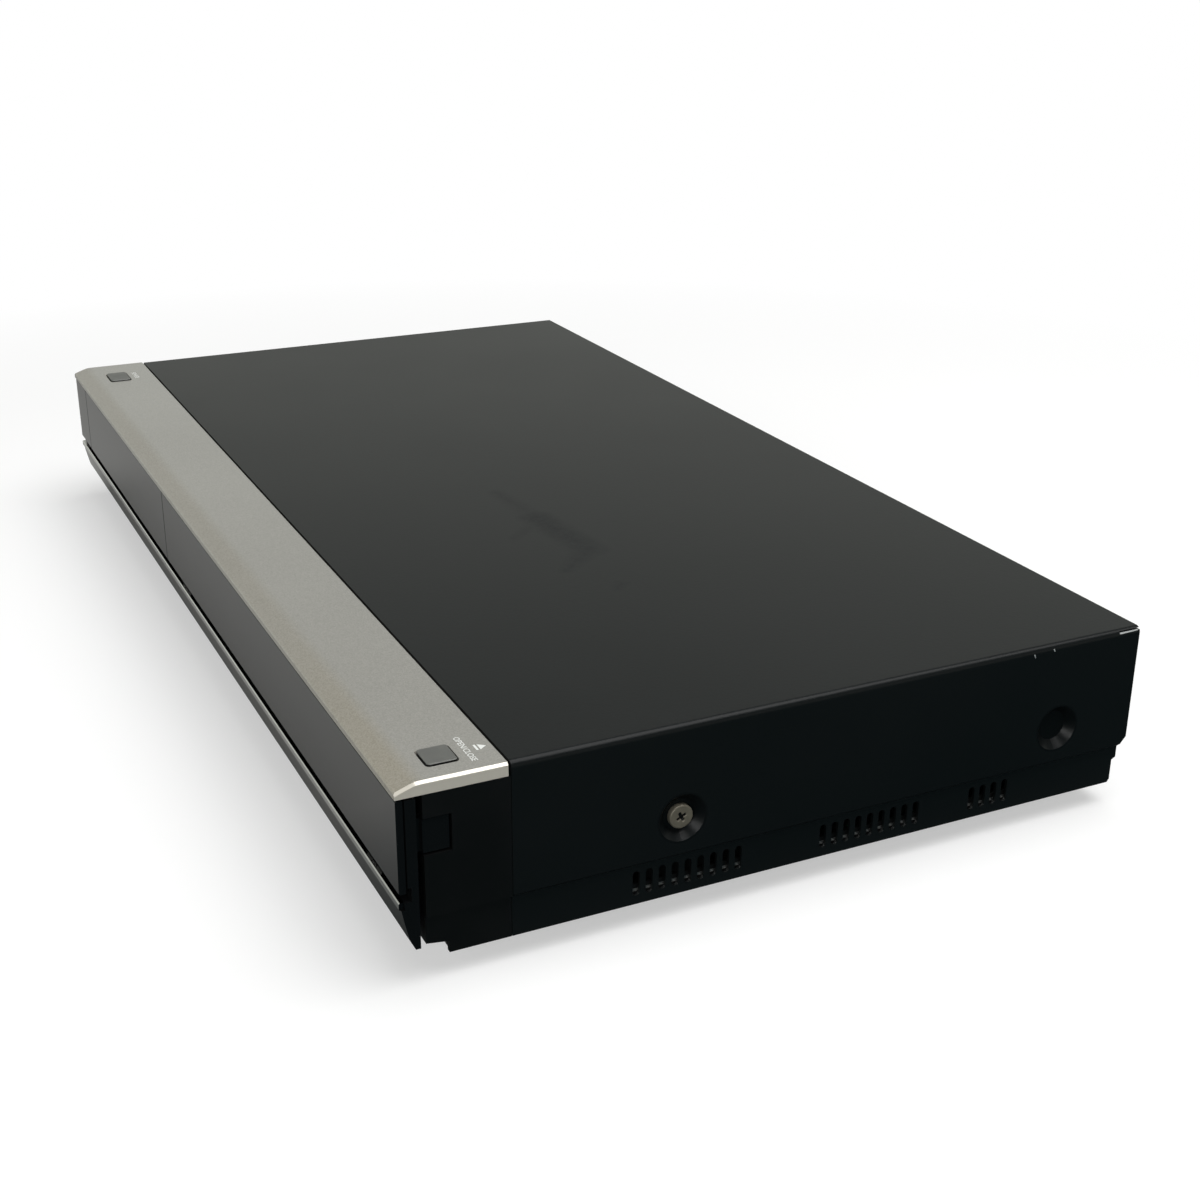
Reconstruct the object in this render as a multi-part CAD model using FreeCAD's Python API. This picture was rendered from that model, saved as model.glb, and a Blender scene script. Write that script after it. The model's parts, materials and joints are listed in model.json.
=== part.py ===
import FreeCAD, Part
import math
import os

# Optical disc recorder: a low full-width set with a folded steel cover, a moulded front with a silver
# top trim, a disc drive with a sliding tray on the left and a fold-down flap on the right.
# Millimetres. X runs to the right seen from the front, Y to the back, Z up.
# The origin is the centre of the overall box, on the surface that the feet stand on.

# Overall sizes
width = 430.0
height = 58.5
cover_length = 202.0
front_depth = 30.9
rear_reach = 8.0
foot_height = 7.0

# Sheet steel
sheet = 1.0
cover_bend = 1.8
joggle_top = 20.0
joggle_inset = 1.0
seam_gap = 0.8
fit_gap = 0.3
chassis_wall = 2.5

# Places that follow from the overall sizes
depth = front_depth + cover_length + rear_reach
half = width / 2
seam_y = front_depth - depth / 2
rear_y = seam_y + cover_length
side_x = half - joggle_inset
panel_back = rear_y - 2.4
panel_face = panel_back - sheet
inner_x = side_x - sheet

# The glossy front splits from left to right into a fixed end, the tray's bezel and the flap
bezel_left = -half + 23.0
bezel_width = 150.0
bezel_right = bezel_left + bezel_width
drive_x = bezel_left + bezel_width / 2

V = FreeCAD.Vector
X_AXIS = V(1, 0, 0)
Y_AXIS = V(0, 1, 0)
Z_AXIS = V(0, 0, 1)


def block(x0, x1, y0, y1, z0, z1):
    """A box between two corners."""
    return Part.makeBox(x1 - x0, y1 - y0, z1 - z0, V(x0, y0, z0))


def rod(radius, x, y, z, axis, length):
    """A round bar that starts at a point and runs along an axis."""
    return Part.makeCylinder(radius, length, V(x, y, z), axis)


def cone(radius_0, radius_1, x, y, z, axis, length):
    """A tapered round bar that starts at a point and runs along an axis."""
    return Part.makeCone(radius_0, radius_1, length, V(x, y, z), axis)


def outline(points):
    """A closed flat face through points."""
    return Part.Face(Part.makePolygon(points + [points[0]]))


def prism_x(points, x0, x1):
    """A (y, z) outline carried along X."""
    return outline([V(x0, y, z) for y, z in points]).extrude(V(x1 - x0, 0, 0))


def prism_y(points, y0, y1):
    """An (x, z) outline carried along Y."""
    return outline([V(x, y0, z) for x, z in points]).extrude(V(0, y1 - y0, 0))


def prism_z(points, z0, z1):
    """An (x, y) outline carried along Z."""
    return outline([V(x, y, z0) for x, y in points]).extrude(V(0, 0, z1 - z0))


def slot_x(x0, x1, y, z0, z1, slot_width):
    """A round-ended upright slot cutter through a side wall."""
    r = slot_width / 2
    body = block(x0, x1, y - r, y + r, z0 + r, z1 - r)
    low = rod(r, x0, y, z0 + r, X_AXIS, x1 - x0)
    high = rod(r, x0, y, z1 - r, X_AXIS, x1 - x0)
    return body.fuse([low, high])


def mirrored(shape):
    """The same shape on the other side of the middle."""
    return shape.mirror(V(0, 0, 0), X_AXIS)


def both_sides(shape):
    """A shape and its mirror image."""
    return [shape, mirrored(shape)]


def joined(first, *others):
    """Solids fused into one, with leftover seams removed."""
    return first.fuse(list(others)).removeSplitter()


def cut(shape, cutters):
    """A shape less a list of cutters."""
    return shape.cut(list(cutters))


def round_edges(shape, radius, wanted):
    """Fillets on the edges that a test picks."""
    edges = [e for e in shape.Edges if wanted(e)]
    return shape.makeFillet(radius, edges)


def bevel_edges(shape, size, wanted):
    """Chamfers on the edges that a test picks."""
    edges = [e for e in shape.Edges if wanted(e)]
    return shape.makeChamfer(size, edges)


def runs_along(edge, axis):
    """Whether a straight edge runs along an axis."""
    a = edge.Vertexes[0].Point
    b = edge.Vertexes[-1].Point
    return (b - a).Length > 0.01 and (b - a).cross(axis).Length < 0.001


def save(name, *solids):
    """Writes one piece, or a group of like pieces, as one node."""
    shape = solids[0] if len(solids) == 1 else Part.makeCompound(list(solids))
    shape.exportStep("parts/" + name + ".step")


os.makedirs("parts", exist_ok=True)

# Cover: dimples, screws and vent slots
dimple_z = 30.8
dimple_radius = 7.0
dimple_floor = 4.6
dimple_depth = 2.4
front_dimple_y = seam_y + 49.1
rear_dimple_y = seam_y + 174.5
screw_head = 3.75
screw_head_height = 1.9
screw_shank = 1.5
screw_length = 6.0
screw_clear = 0.25
vent_width = 2.1
vent_pitch = 3.93
vent_low = 9.7
vent_high = 17.1
vent_starts = [36.0, 94.8, 146.0]
vent_counts = [9, 9, 4]
flange_drop = 8.0
relief_length = 7.5
relief_height = 0.5
rear_screw_x = [-half + 25.0, 0.0, half - 25.0]
rear_screw_z = height - 5.2
driver_arm = 0.5
driver_depth = 1.2

# The rear edge of the cover's sides: levels and steps of its notched outline
tail_top = 22.3
tail_step = 2.2
tail_low_step = 3.6
tail_foot_step = 4.8


def make_top_cover():
    """Folded steel U: top, two sides with a stepped lower strip, and a short rear flange."""
    y0 = seam_y
    step = joggle_inset

    def section(inset, low):
        x_up = half - inset
        x_low = side_x - inset
        top = height - inset
        knee = joggle_top + inset * 0.4
        right = [(x_low, low), (x_low, knee - step), (x_up, knee), (x_up, top)]
        left = [(-x, z) for x, z in reversed(right)]
        return right + left

    outer = prism_y(section(0.0, foot_height), y0, rear_y)
    top_bend = lambda e: runs_along(e, Y_AXIS) and e.Vertexes[0].Z > height - 0.01
    outer = round_edges(outer, cover_bend, top_bend)
    inner = prism_y(section(sheet, foot_height - 1), y0 - 1, rear_y + 1)
    under = height - sheet - 0.01
    inner_bend = lambda e: runs_along(e, Y_AXIS) and e.Vertexes[0].Z > under
    inner = round_edges(inner, cover_bend - sheet, inner_bend)
    shell = outer.cut(inner)
    flange_x = half - cover_bend - 0.6
    z0 = height - sheet - flange_drop
    flange = block(-flange_x, flange_x, rear_y - sheet, rear_y, z0, height - sheet / 2)
    shell = shell.fuse(flange)
    # The rear edge of each side steps forward below the fold
    tail = prism_x(
        [
            (rear_y, tail_top),
            (rear_y - tail_step, tail_top - 2.6),
            (rear_y - tail_step, tail_top - 7.0),
            (rear_y - tail_low_step, tail_top - 7.7),
            (rear_y - tail_low_step, foot_height + 1.2),
            (rear_y - tail_foot_step, foot_height - 1),
            (rear_y + 1, foot_height - 1),
            (rear_y + 1, tail_top),
        ],
        -half - 1,
        half + 1,
    )
    cutters = [tail]
    relief_z = height - 0.9
    for x0 in (half - 2.4, -half - 1):
        relief = block(x0, x0 + 3.4, rear_y - relief_length, rear_y + 1, relief_z, relief_z + relief_height)
        cutters.append(relief)
    for start, count in zip(vent_starts, vent_counts):
        for n in range(count):
            y = seam_y + start + n * vent_pitch
            slot = slot_x(inner_x - 1, side_x + 1, y, vent_low, vent_high, vent_width)
            cutters += both_sides(slot)
    for x in rear_screw_x:
        cutters.append(rod(screw_shank + screw_clear, x, rear_y - 2, rear_screw_z, Y_AXIS, 4))
    shell = cut(shell, cutters)
    for y, holed in ((front_dimple_y, True), (rear_dimple_y, False)):
        inward = V(-1, 0, 0)
        cup = cone(
            dimple_radius + 0.6,
            dimple_floor + 0.6,
            half - sheet / 2,
            y,
            dimple_z,
            inward,
            dimple_depth + sheet / 2,
        )
        dish = cone(dimple_radius, dimple_floor, half, y, dimple_z, inward, dimple_depth)
        start = rod(dimple_radius, half, y, dimple_z, X_AXIS, 1)
        for whole, hollow, lead in zip(both_sides(cup), both_sides(dish), both_sides(start)):
            shell = shell.fuse(whole).cut([hollow, lead])
        if holed:
            hole = rod(screw_shank + screw_clear, half + 1, y, dimple_z, inward, 8)
            shell = cut(shell, both_sides(hole))
    return shell


def screw(x, y, z, axis):
    """A pan-head machine screw whose head sits at a point and whose shank runs along an axis."""
    head = cone(screw_head, screw_head * 0.72, x, y, z, axis * -1, screw_head_height)
    shank = rod(screw_shank, x, y, z, axis, screw_length)
    arm = driver_arm
    reach = screw_head * 0.55
    both = head.fuse(shank)
    tip = V(x, y, z) - axis * screw_head_height
    side = Z_AXIS
    other = axis.cross(side)
    for long_way, short_way in ((side, other), (other, side)):
        corner = tip - long_way * reach - short_way * arm
        base = outline(
            [
                corner,
                corner + long_way * 2 * reach,
                corner + long_way * 2 * reach + short_way * 2 * arm,
                corner + short_way * 2 * arm,
            ]
        )
        both = both.cut(base.extrude(axis * driver_depth))
    return both


def make_case_screws():
    """One screw in each front dimple and three through the rear flange."""
    seat = half - dimple_depth
    side = screw(seat, front_dimple_y, dimple_z, V(-1, 0, 0))
    screws = both_sides(side)
    for x in rear_screw_x:
        screws.append(screw(x, rear_y, rear_screw_z, V(0, -1, 0)))
    return screws


save("top_cover", make_top_cover())
save("case_screws", *make_case_screws())

# Base, feet and boards
floor_z = foot_height
floor_top = floor_z + sheet
base_front = seam_y - 17.0
base_x = inner_x - 0.2
side_flange = 4.5
board_z = 13.0
board_thick = 1.6
board_top = board_z + board_thick
standoff_radius = 3.0
thread_clear = 0.05
tab_x = half - dimple_depth - sheet - 0.2
tab_height = 30.0
tab_half = 9.0
foot_x = half - 50.0
foot_y = [seam_y + 16.0, rear_y - 27.0]
foot_radius = 14.0
pad_radius = 10.0
pad_thick = 1.6
pad_proud = 0.8
board_back = panel_face - 0.6

# Disc drive, outside sizes
drive_width = 146.0
drive_front = seam_y - 21.3
drive_length = 164.0
drive_high = 35.0
drive_top = height - 10.5
drive_bottom = drive_top - drive_high
drive_left = drive_x - drive_width / 2
drive_right = drive_x + drive_width / 2
drive_back = drive_front + drive_length
drive_seat_inset = 7.0

# Power board on the right; main board: a wide strip along the rear sockets with a tongue to the front
power_left = half - 97.0
power_right = half - 7.0
power_front = seam_y + 14.0
main_left = -half + 7.0
main_right = power_left - 6.0
main_tongue_left = drive_right + 14.0
main_tongue = main_right - main_tongue_left
main_front = seam_y + 8.0
main_step = seam_y + 154.0


def main_standoffs():
    """Where the main board is held up from the base."""
    inset = 5.0
    front = main_front + inset
    back = board_back - 16.0
    return [
        (main_tongue_left + inset, front),
        (main_right - inset, front),
        (main_right - inset, main_step - 30.0),
        (main_tongue_left + inset, main_step - 30.0),
        (main_left + inset, back),
        (main_right - inset, back),
    ]


def power_standoffs():
    """Where the power board is held up from the base."""
    inset = 5.0
    return [
        (x, y)
        for x in (power_left + inset, power_right - inset)
        for y in (power_front + inset, board_back - 24.0)
    ]


def drive_seats():
    """Where the disc drive stands on the base."""
    return [
        (x, y)
        for x in (drive_left + drive_seat_inset, drive_right - drive_seat_inset)
        for y in (base_front + 9.0, drive_back - drive_seat_inset)
    ]


def make_base_chassis():
    """Pressed steel pan with side flanges, screw tabs and raised seats for the boards and the drive."""
    back = panel_back
    floor = block(-base_x, base_x, seam_y + 0.4, back, floor_z, floor_top)
    tongue_x = half - chassis_wall - fit_gap
    pieces = [block(-tongue_x, tongue_x, base_front, seam_y + 1, floor_z, floor_top)]
    flange = block(base_x - sheet, base_x, seam_y + 1, back - 3.0, floor_z, floor_z + sheet + side_flange)
    pieces += both_sides(flange)
    for y in (front_dimple_y, rear_dimple_y):
        tab = block(tab_x - sheet, tab_x, y - tab_half, y + tab_half, floor_z + 0.5, floor_z + tab_height)
        pieces += both_sides(tab)
    for x, y in main_standoffs() + power_standoffs():
        pieces.append(rod(standoff_radius, x, y, floor_z + 0.5, Z_AXIS, board_z - floor_z - 0.5))
    for x, y in drive_seats():
        pieces.append(cone(5.5, 4.0, x, y, floor_z + 0.5, Z_AXIS, drive_bottom - floor_z - 0.5))
    # Pressed stiffening ribs across the floor
    for y in (seam_y + 40.0, seam_y + 120.0):
        rib = rod(4.0, -base_x + 40.0, y, floor_top - 2.6, X_AXIS, 2 * base_x - 80.0)
        above = block(-base_x, base_x, y - 6, y + 6, floor_top - 0.2, floor_top + 4)
        pieces.append(rib.common(above))
    pan = floor.fuse(pieces)
    holes = []
    for x in (tab_x - 5, -tab_x - 5):
        holes.append(rod(screw_shank + thread_clear, x, front_dimple_y, dimple_z, X_AXIS, 10))
    for n in range(8):
        slot_y = seam_y + 60.0 + n * 6.0
        slot = block(foot_x - 25.0, foot_x + 15.0, slot_y, slot_y + 2.5, floor_z - 1, floor_top + 1)
        holes += both_sides(slot)
    return cut(pan, holes)


def make_feet():
    """Four low tapered feet, each with a recess for its pad."""
    feet = []
    for x in (-foot_x, foot_x):
        for y in foot_y:
            foot = cone(foot_radius - 1.2, foot_radius, x, y, pad_proud, Z_AXIS, foot_height - pad_proud)
            recess = rod(pad_radius + 0.2, x, y, pad_proud - 1, Z_AXIS, pad_thick - pad_proud + 1)
            feet.append(foot.cut(recess))
    return feet


def make_foot_pads():
    """Round rubber pads that carry the set."""
    return [rod(pad_radius, x, y, 0, Z_AXIS, pad_thick) for x in (-foot_x, foot_x) for y in foot_y]


# Rear sockets: centre across, and the size of each opening
aerial_x = [-half + 23.0, -half + 51.0]
aerial_z = [21.0, 41.0]
aerial_radius = 4.7
aerial_bore = 1.2
aerial_nut = 6.6
aerial_nut_thick = 2.0
jack_x = [-half + 85.0 + n * 14.0 for n in range(3)]
jack_z = [21.0, 36.5]
jack_radius = 4.15
jack_stem = 3.9
jack_stem_gap = 0.05
jack_stem_depth = 3.0
jack_bore = 1.6
jack_reach = 6.0
jack_face = 6.0
fan_x = -half + 159.0
fan_size = 40.0
fan_thick = 15.0
fan_z = board_top + 0.6 + fan_size / 2
socket_span = main_right - fan_x
hdmi_x = fan_x + 0.274 * socket_span
hdmi_width = 15.0
hdmi_height = 5.6
lan_x = fan_x + 0.482 * socket_span
lan_width = 16.0
lan_height = 13.5
lan_depth = 18.0
optical_x = fan_x + 0.643 * socket_span
optical_size = 9.6
usb_x = fan_x + 0.798 * socket_span
usb_width = 14.4
usb_height = 7.0
inlet_x = half - 37.0
inlet_width = 21.0
inlet_height = 12.5
inlet_depth = 18.0
socket_gap = 0.25
port_wall = 0.5
port_proud = 0.8


def make_rear_panel():
    """Steel panel pierced for every socket, with an inward foot and three pressed screw seats."""
    top = height - sheet - 0.3
    edge = inner_x - 0.3
    plate = block(-edge, edge, panel_face, panel_back, floor_top, top)
    foot_edge = base_x - sheet - fit_gap
    foot = block(-foot_edge, foot_edge, panel_face - 9.0, panel_face, floor_top, floor_top + sheet)
    seats = [
        cone(3.9, 3.2, x, panel_back, rear_screw_z, Y_AXIS, rear_y - sheet - panel_back)
        for x in rear_screw_x
    ]
    plate = plate.fuse([foot] + seats)
    a = panel_face - 1
    b = panel_back + 1
    g = socket_gap
    holes = [rod(aerial_radius + g, x, a, z, Y_AXIS, 4) for x in aerial_x for z in aerial_z]
    holes += [rod(jack_face + g, x, a, z, Y_AXIS, 4) for x in jack_x for z in jack_z]
    for x, w, h in (
        (hdmi_x, hdmi_width, hdmi_height),
        (lan_x, lan_width, lan_height),
        (optical_x, optical_size, optical_size),
        (usb_x, usb_width, usb_height),
        (inlet_x, inlet_width, inlet_height),
    ):
        holes.append(block(x - w / 2 - g, x + w / 2 + g, a, b, board_top - g, board_top + h + g))
    slots = 8
    pitch = (fan_size - 6.0) / slots
    for n in range(slots):
        z = fan_z - (fan_size - 6.0) / 2 + (n + 0.5) * pitch
        reach = math.sqrt(max((fan_size / 2 - 2.0) ** 2 - (z - fan_z) ** 2, 9.0))
        holes.append(block(fan_x - reach, fan_x + reach, a, b, z - 1.2, z + 1.2))
    for n in range(12):
        x = power_left + 10.0 + n * 6.0
        holes.append(block(x - 1.2, x + 1.2, a, b, height - 22.5, height - 10.5))
    for x in rear_screw_x:
        holes.append(rod(screw_shank + thread_clear, x, a, rear_screw_z, Y_AXIS, 8))
    # The foot clears the board seats that stand near it
    for x, y in main_standoffs() + power_standoffs():
        holes.append(rod(standoff_radius + 1, x, y, floor_top - 1, Z_AXIS, 3))
    return cut(plate, holes)


def make_main_board():
    """Circuit board: a strip behind the rear sockets with a tongue that reaches to the front."""
    points = [
        (main_tongue_left, main_front),
        (main_right, main_front),
        (main_right, board_back),
        (main_left, board_back),
        (main_left, main_step),
        (main_tongue_left, main_step),
    ]
    return prism_z(points, board_z, board_top)


chip_height = 2.4
soc_size = 26.0
soc_x = main_tongue_left + 16.0
soc_y = seam_y + 96.0
sink_height = 18.0
sink_base = 3.0
sink_fins = 7
memory_share = 0.408


def make_main_chips():
    """The processor, its memories and the smaller controllers on the main board."""
    s = soc_size / 2
    chips = [block(soc_x - s, soc_x + s, soc_y - s, soc_y + s, board_top, board_top + chip_height)]
    # Each place is a share of the tongue's width and a distance behind the cover's front edge
    for share, behind, w, d in (
        (memory_share, 44.0, 12.0, 18.0),
        (memory_share, 68.0, 12.0, 18.0),
        (0.577, 50.0, 20.0, 20.0),
        (0.789, 52.0, 14.0, 14.0),
        (0.113, 46.0, 18.0, 18.0),
        (0.634, 140.0, 12.0, 12.0),
        (-0.352, 168.0, 14.0, 10.0),
    ):
        x = main_tongue_left + share * main_tongue
        y = seam_y + behind
        chips.append(block(x - w / 2, x + w / 2, y - d / 2, y + d / 2, board_top, board_top + 1.2))
    return chips


def make_main_heatsink():
    """Finned aluminium block on the processor."""
    z0 = board_top + chip_height
    x0 = soc_x - soc_size / 2
    x1 = soc_x + soc_size / 2
    y0 = soc_y - 18.0
    y1 = soc_y + 18.0
    body = block(x0, x1, y0, y1, z0, z0 + sink_height)
    pitch = (x1 - x0) / sink_fins
    gaps = []
    for n in range(sink_fins - 1):
        x = x0 + (n + 1) * pitch
        g = pitch * 0.3
        gaps.append(block(x - g, x + g, y0 - 1, y1 + 1, z0 + sink_base, z0 + sink_height + 1))
    return cut(body, gaps)


def make_power_board():
    """Circuit board of the power supply."""
    return block(power_left, power_right, power_front, board_back, board_z, board_top)


def make_power_transformer():
    """Ferrite frame round a wound bobbin."""
    x = power_left + 42.0
    y = seam_y + 84.0
    core = block(x - 17, x + 17, y - 6.5, y + 6.5, board_top + 3.0, board_top + 29.0)
    window = block(x - 11, x + 11, y - 8, y + 8, board_top + 8.0, board_top + 24.0)
    limb = block(x - 5, x + 5, y - 6.5, y + 6.5, board_top + 7.0, board_top + 25.0)
    winding = rod(10.6, x, y, board_top + 8.0, Z_AXIS, 16.0)
    flange = block(x - 13, x + 13, y - 12, y + 12, board_top, board_top + 3.0)
    return joined(core.cut(window), limb, winding, flange)


def make_power_capacitors():
    """One large smoothing capacitor and the output ones."""
    cans = [rod(11.0, power_right - 22.0, seam_y + 60.0, board_top, Z_AXIS, 30.0)]
    for x in (power_left + 18.0, power_left + 32.0):
        for y in (seam_y + 120.0, seam_y + 136.0):
            cans.append(rod(5.0, x, y, board_top, Z_AXIS, 20.0))
    rim = lambda e: e.Curve.TypeId == "Part::GeomCircle" and e.BoundBox.ZMin > board_top + 5
    return [bevel_edges(c, 0.8, rim) for c in cans]


def make_power_heatsinks():
    """Two folded aluminium fins that cool the switching devices."""
    sinks = []
    for x, behind, length in ((power_right - 12.0, 100.0, 44.0), (power_left + 10.0, 92.0, 36.0)):
        y0 = seam_y + behind
        wall = block(x - 1.2, x + 1.2, y0, y0 + length, board_top, board_top + 28.0)
        fold = block(x - 8.0, x + 1.2, y0, y0 + length, board_top + 26.0, board_top + 28.0)
        sinks.append(joined(wall, fold))
    return sinks


disk_width = 101.6
disk_length = 147.0
disk_height = 26.1
disk_x = main_right - 56.0
disk_front = main_front + 4.0
disk_z = board_top + 13.4
bracket_sheet = 1.2


def make_hard_disk():
    """Cast disk body with a stepped lid."""
    x0 = disk_x - disk_width / 2
    x1 = x0 + disk_width
    body = block(x0, x1, disk_front, disk_front + disk_length, disk_z, disk_z + disk_height - 2.0)
    body = round_edges(body, 3.0, lambda e: runs_along(e, Z_AXIS))
    y0 = disk_front + 4
    y1 = disk_front + disk_length - 12
    z1 = disk_z + disk_height
    lid = block(x0 + 3, x0 + disk_width - 3, y0, y1, z1 - 2.5, z1)
    lid = round_edges(lid, 6.0, lambda e: runs_along(e, Z_AXIS))
    return joined(body, lid)


def make_disk_bracket():
    """Folded steel cradle on four legs that stand on the main board over its seats."""
    x0 = disk_x - disk_width / 2
    x1 = x0 + disk_width
    t = bracket_sheet
    z1 = disk_z
    z0 = disk_z - t
    plate = block(x0 - 0.2 - t, x1 + 0.2 + t, disk_front + 10, disk_front + disk_length - 10, z0, z1)
    window = block(x0 + 18, x1 - 18, disk_front + 30, disk_front + disk_length - 30, z0 - 1, z1 + 1)
    walls = [
        block(x0 - 0.2 - t, x0 - 0.2, disk_front + 10, disk_front + disk_length - 10, z0, z1 + 12.0),
        block(x1 + 0.2, x1 + 0.2 + t, disk_front + 10, disk_front + disk_length - 10, z0, z1 + 12.0),
    ]
    legs = []
    for x in (x0 + 6.0, x1 - 14.0):
        for y in (disk_front + 10.0, disk_front + disk_length - 18.0):
            legs.append(block(x, x + 8.0, y, y + t, board_top, z0 + t / 2))
            legs.append(block(x, x + 8.0, y, y + 8.0, board_top, board_top + t))
    return plate.cut(window).fuse(walls + legs)


save("base_chassis", make_base_chassis())
save("feet", *make_feet())
save("foot_pads", *make_foot_pads())
save("rear_panel", make_rear_panel())
save("main_board", make_main_board())
save("main_chips", *make_main_chips())
save("power_board", make_power_board())
save("power_transformer", make_power_transformer())
save("power_capacitors", *make_power_capacitors())
save("heatsinks", make_main_heatsink(), *make_power_heatsinks())
save("hard_disk", make_hard_disk())
save("hard_disk_bracket", make_disk_bracket())

# Front: distances ahead of the cover's front edge, and below the top face
slab_front = 30.6
slab_skin = 1.2
slab_depth = 1.9
slab_top = 4.4
slab_bottom = 30.8
cheek_front = 27.4
cheek_reach = 28.4
sill_reach = 29.2
plate_front = 26.4
plate_back = 25.5
chassis_front = 23.8
chassis_plate = 2.0
chassis_low = foot_height + 4.3
lip_top = 33.2
strip_height = 2.1
strip_proud = 0.2
strip_depth = 1.2
lip_wall = 2.0
trim_skin = 1.2
trim_drop = 3.74
trim_flat = 25.4
trim_slope = 1.8
trim_bevel = 0.7
trim_roll = 9.0
end_gap = 0.4
seam_line = 0.3

# Lower lip: its bottom, and how far its face falls back on the way down
lip_low = foot_height + 4.0
lip_face = 30.3
lip_bulge = 29.5
lip_tuck = 28.4
lip_foot = 26.9
lip_bulge_share = 0.336
lip_tuck_share = 0.746
trim_rib_pitch = 75.0

# Side hooks of the front panel
hook_back = 16.7
hook_sunk = 1.9
hook_low = height - 20.5
hook_high = height - 11.0

# Flap hinge
hinge_ahead = 28.1
hinge_below = 30.3
pin_radius = 0.6
pin_running = 0.05
pin_length = 12.0
knuckle_radius = 1.2
knuckle_width = 4.0
lug_width = 3.0
hinge_x = [bezel_right + 22.0, half - 25.0]

# Buttons on the top trim
button_travel = 0.6
button_proud = 0.5
button_gap = 0.5
button_flange = 0.7
button_corner = 0.9
button_deep = 2.4
button_y = seam_y - 15.6
button_depth = 8.2
open_button_x = half - 11.1
open_button_width = 8.8
power_button_x = -half + 22.5
power_button_width = 13.0

# Openings through the front wall
tray_hole_half = 68.0
tray_hole_low = drive_bottom + 15.6
tray_hole_high = drive_top - 1.0
display_width = 0.358 * (half - bezel_right)
display_x = half - 57.0 - display_width / 2
display_low = height - 23.5
display_high = height - 8.5
card_x = bezel_right + 46.0
card_width = 56.0
card_z = height - 22.5
card_slit = 1.6
front_usb_x = half - 29.0
front_usb_z = card_z
front_usb_width = 13.1
front_usb_height = 5.7

end_x = half - end_gap


def front(distance):
    """The Y of a plane ahead of the cover's front edge."""
    return seam_y - distance


def below(distance):
    """The Z of a level below the top face."""
    return height - distance


def slab(x0, x1):
    """A length of the glossy front: a thin skin with a shallow rim turned back all round."""
    rear = front(slab_front - slab_depth)
    body = block(x0, x1, front(slab_front), rear, below(slab_bottom), below(slab_top))
    body = bevel_edges(body, 0.25, lambda e: e.BoundBox.YMax < front(slab_front) + 0.01)
    t = slab_skin
    y0 = front(slab_front - slab_skin)
    pocket = block(x0 + t, x1 - t, y0, rear + 1, below(slab_bottom - t), below(slab_top + t))
    return body.cut(pocket)


def hinge_point():
    """The flap's hinge axis as Y and Z."""
    return front(hinge_ahead), below(hinge_below)


def make_flap_window():
    """The dark window that faces the flap."""
    window = slab(bezel_right + seam_line, end_x)
    reach = lug_width / 2 + 2 * fit_gap + knuckle_width
    y0 = front(slab_front - slab_skin)
    low = below(slab_bottom)
    return window.cut([block(x - reach, x + reach, y0, y0 + 2, low - 1, low + 3.5) for x in hinge_x])


def make_flap_frame():
    """Rim behind the window, with knuckles that hold the hinge pins."""
    hy, hz = hinge_point()
    inset = slab_skin + 0.1
    x0 = bezel_right + seam_line + inset
    x1 = end_x - 3.0
    y0 = front(slab_front - slab_skin)
    y1 = front(hinge_ahead) + knuckle_radius
    z0 = below(slab_bottom - inset)
    z1 = below(slab_top + inset)
    rim = 4.0
    body = block(x0, x1, y0, y1, z0, z1)
    body = body.cut(block(x0 + rim, x1 - rim, y0 + 0.8, y1 + 1, z0 + rim, z1 - rim))
    bars = []
    display_left = display_x - display_width / 2
    display_right = display_x + display_width / 2
    for x in (display_left - 6.0, display_right + 2.0):
        bars.append(block(x, x + 2.0, y0, y1 - 0.6, z0 + 1, z1 - 1))
    window = block(display_left, display_right, y0 - 1, y0 + 2, display_low, display_high)
    body = body.cut(window).fuse(bars)
    cutters = []
    knuckles = []
    for x in hinge_x:
        for side in (-1, 1):
            low = x + side * (lug_width / 2 + fit_gap + knuckle_width / 2) - knuckle_width / 2
            knuckles.append(rod(knuckle_radius, low, hy, hz, X_AXIS, knuckle_width))
        g = lug_width / 2 + fit_gap
        cutters.append(block(x - g, x + g, y0 - 0.01, y1 + 1, hz - 3, hz + knuckle_radius + 0.6))
        cutters.append(rod(pin_radius, x - pin_length / 2, hy, hz, X_AXIS, pin_length))
    return body.fuse(knuckles).cut(cutters)


def make_hinge_pins():
    """Short steel pins held in the flap's knuckles."""
    hy, hz = hinge_point()
    length = pin_length - 0.4
    return [rod(pin_radius, x - length / 2, hy, hz, X_AXIS, length) for x in hinge_x]


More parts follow.
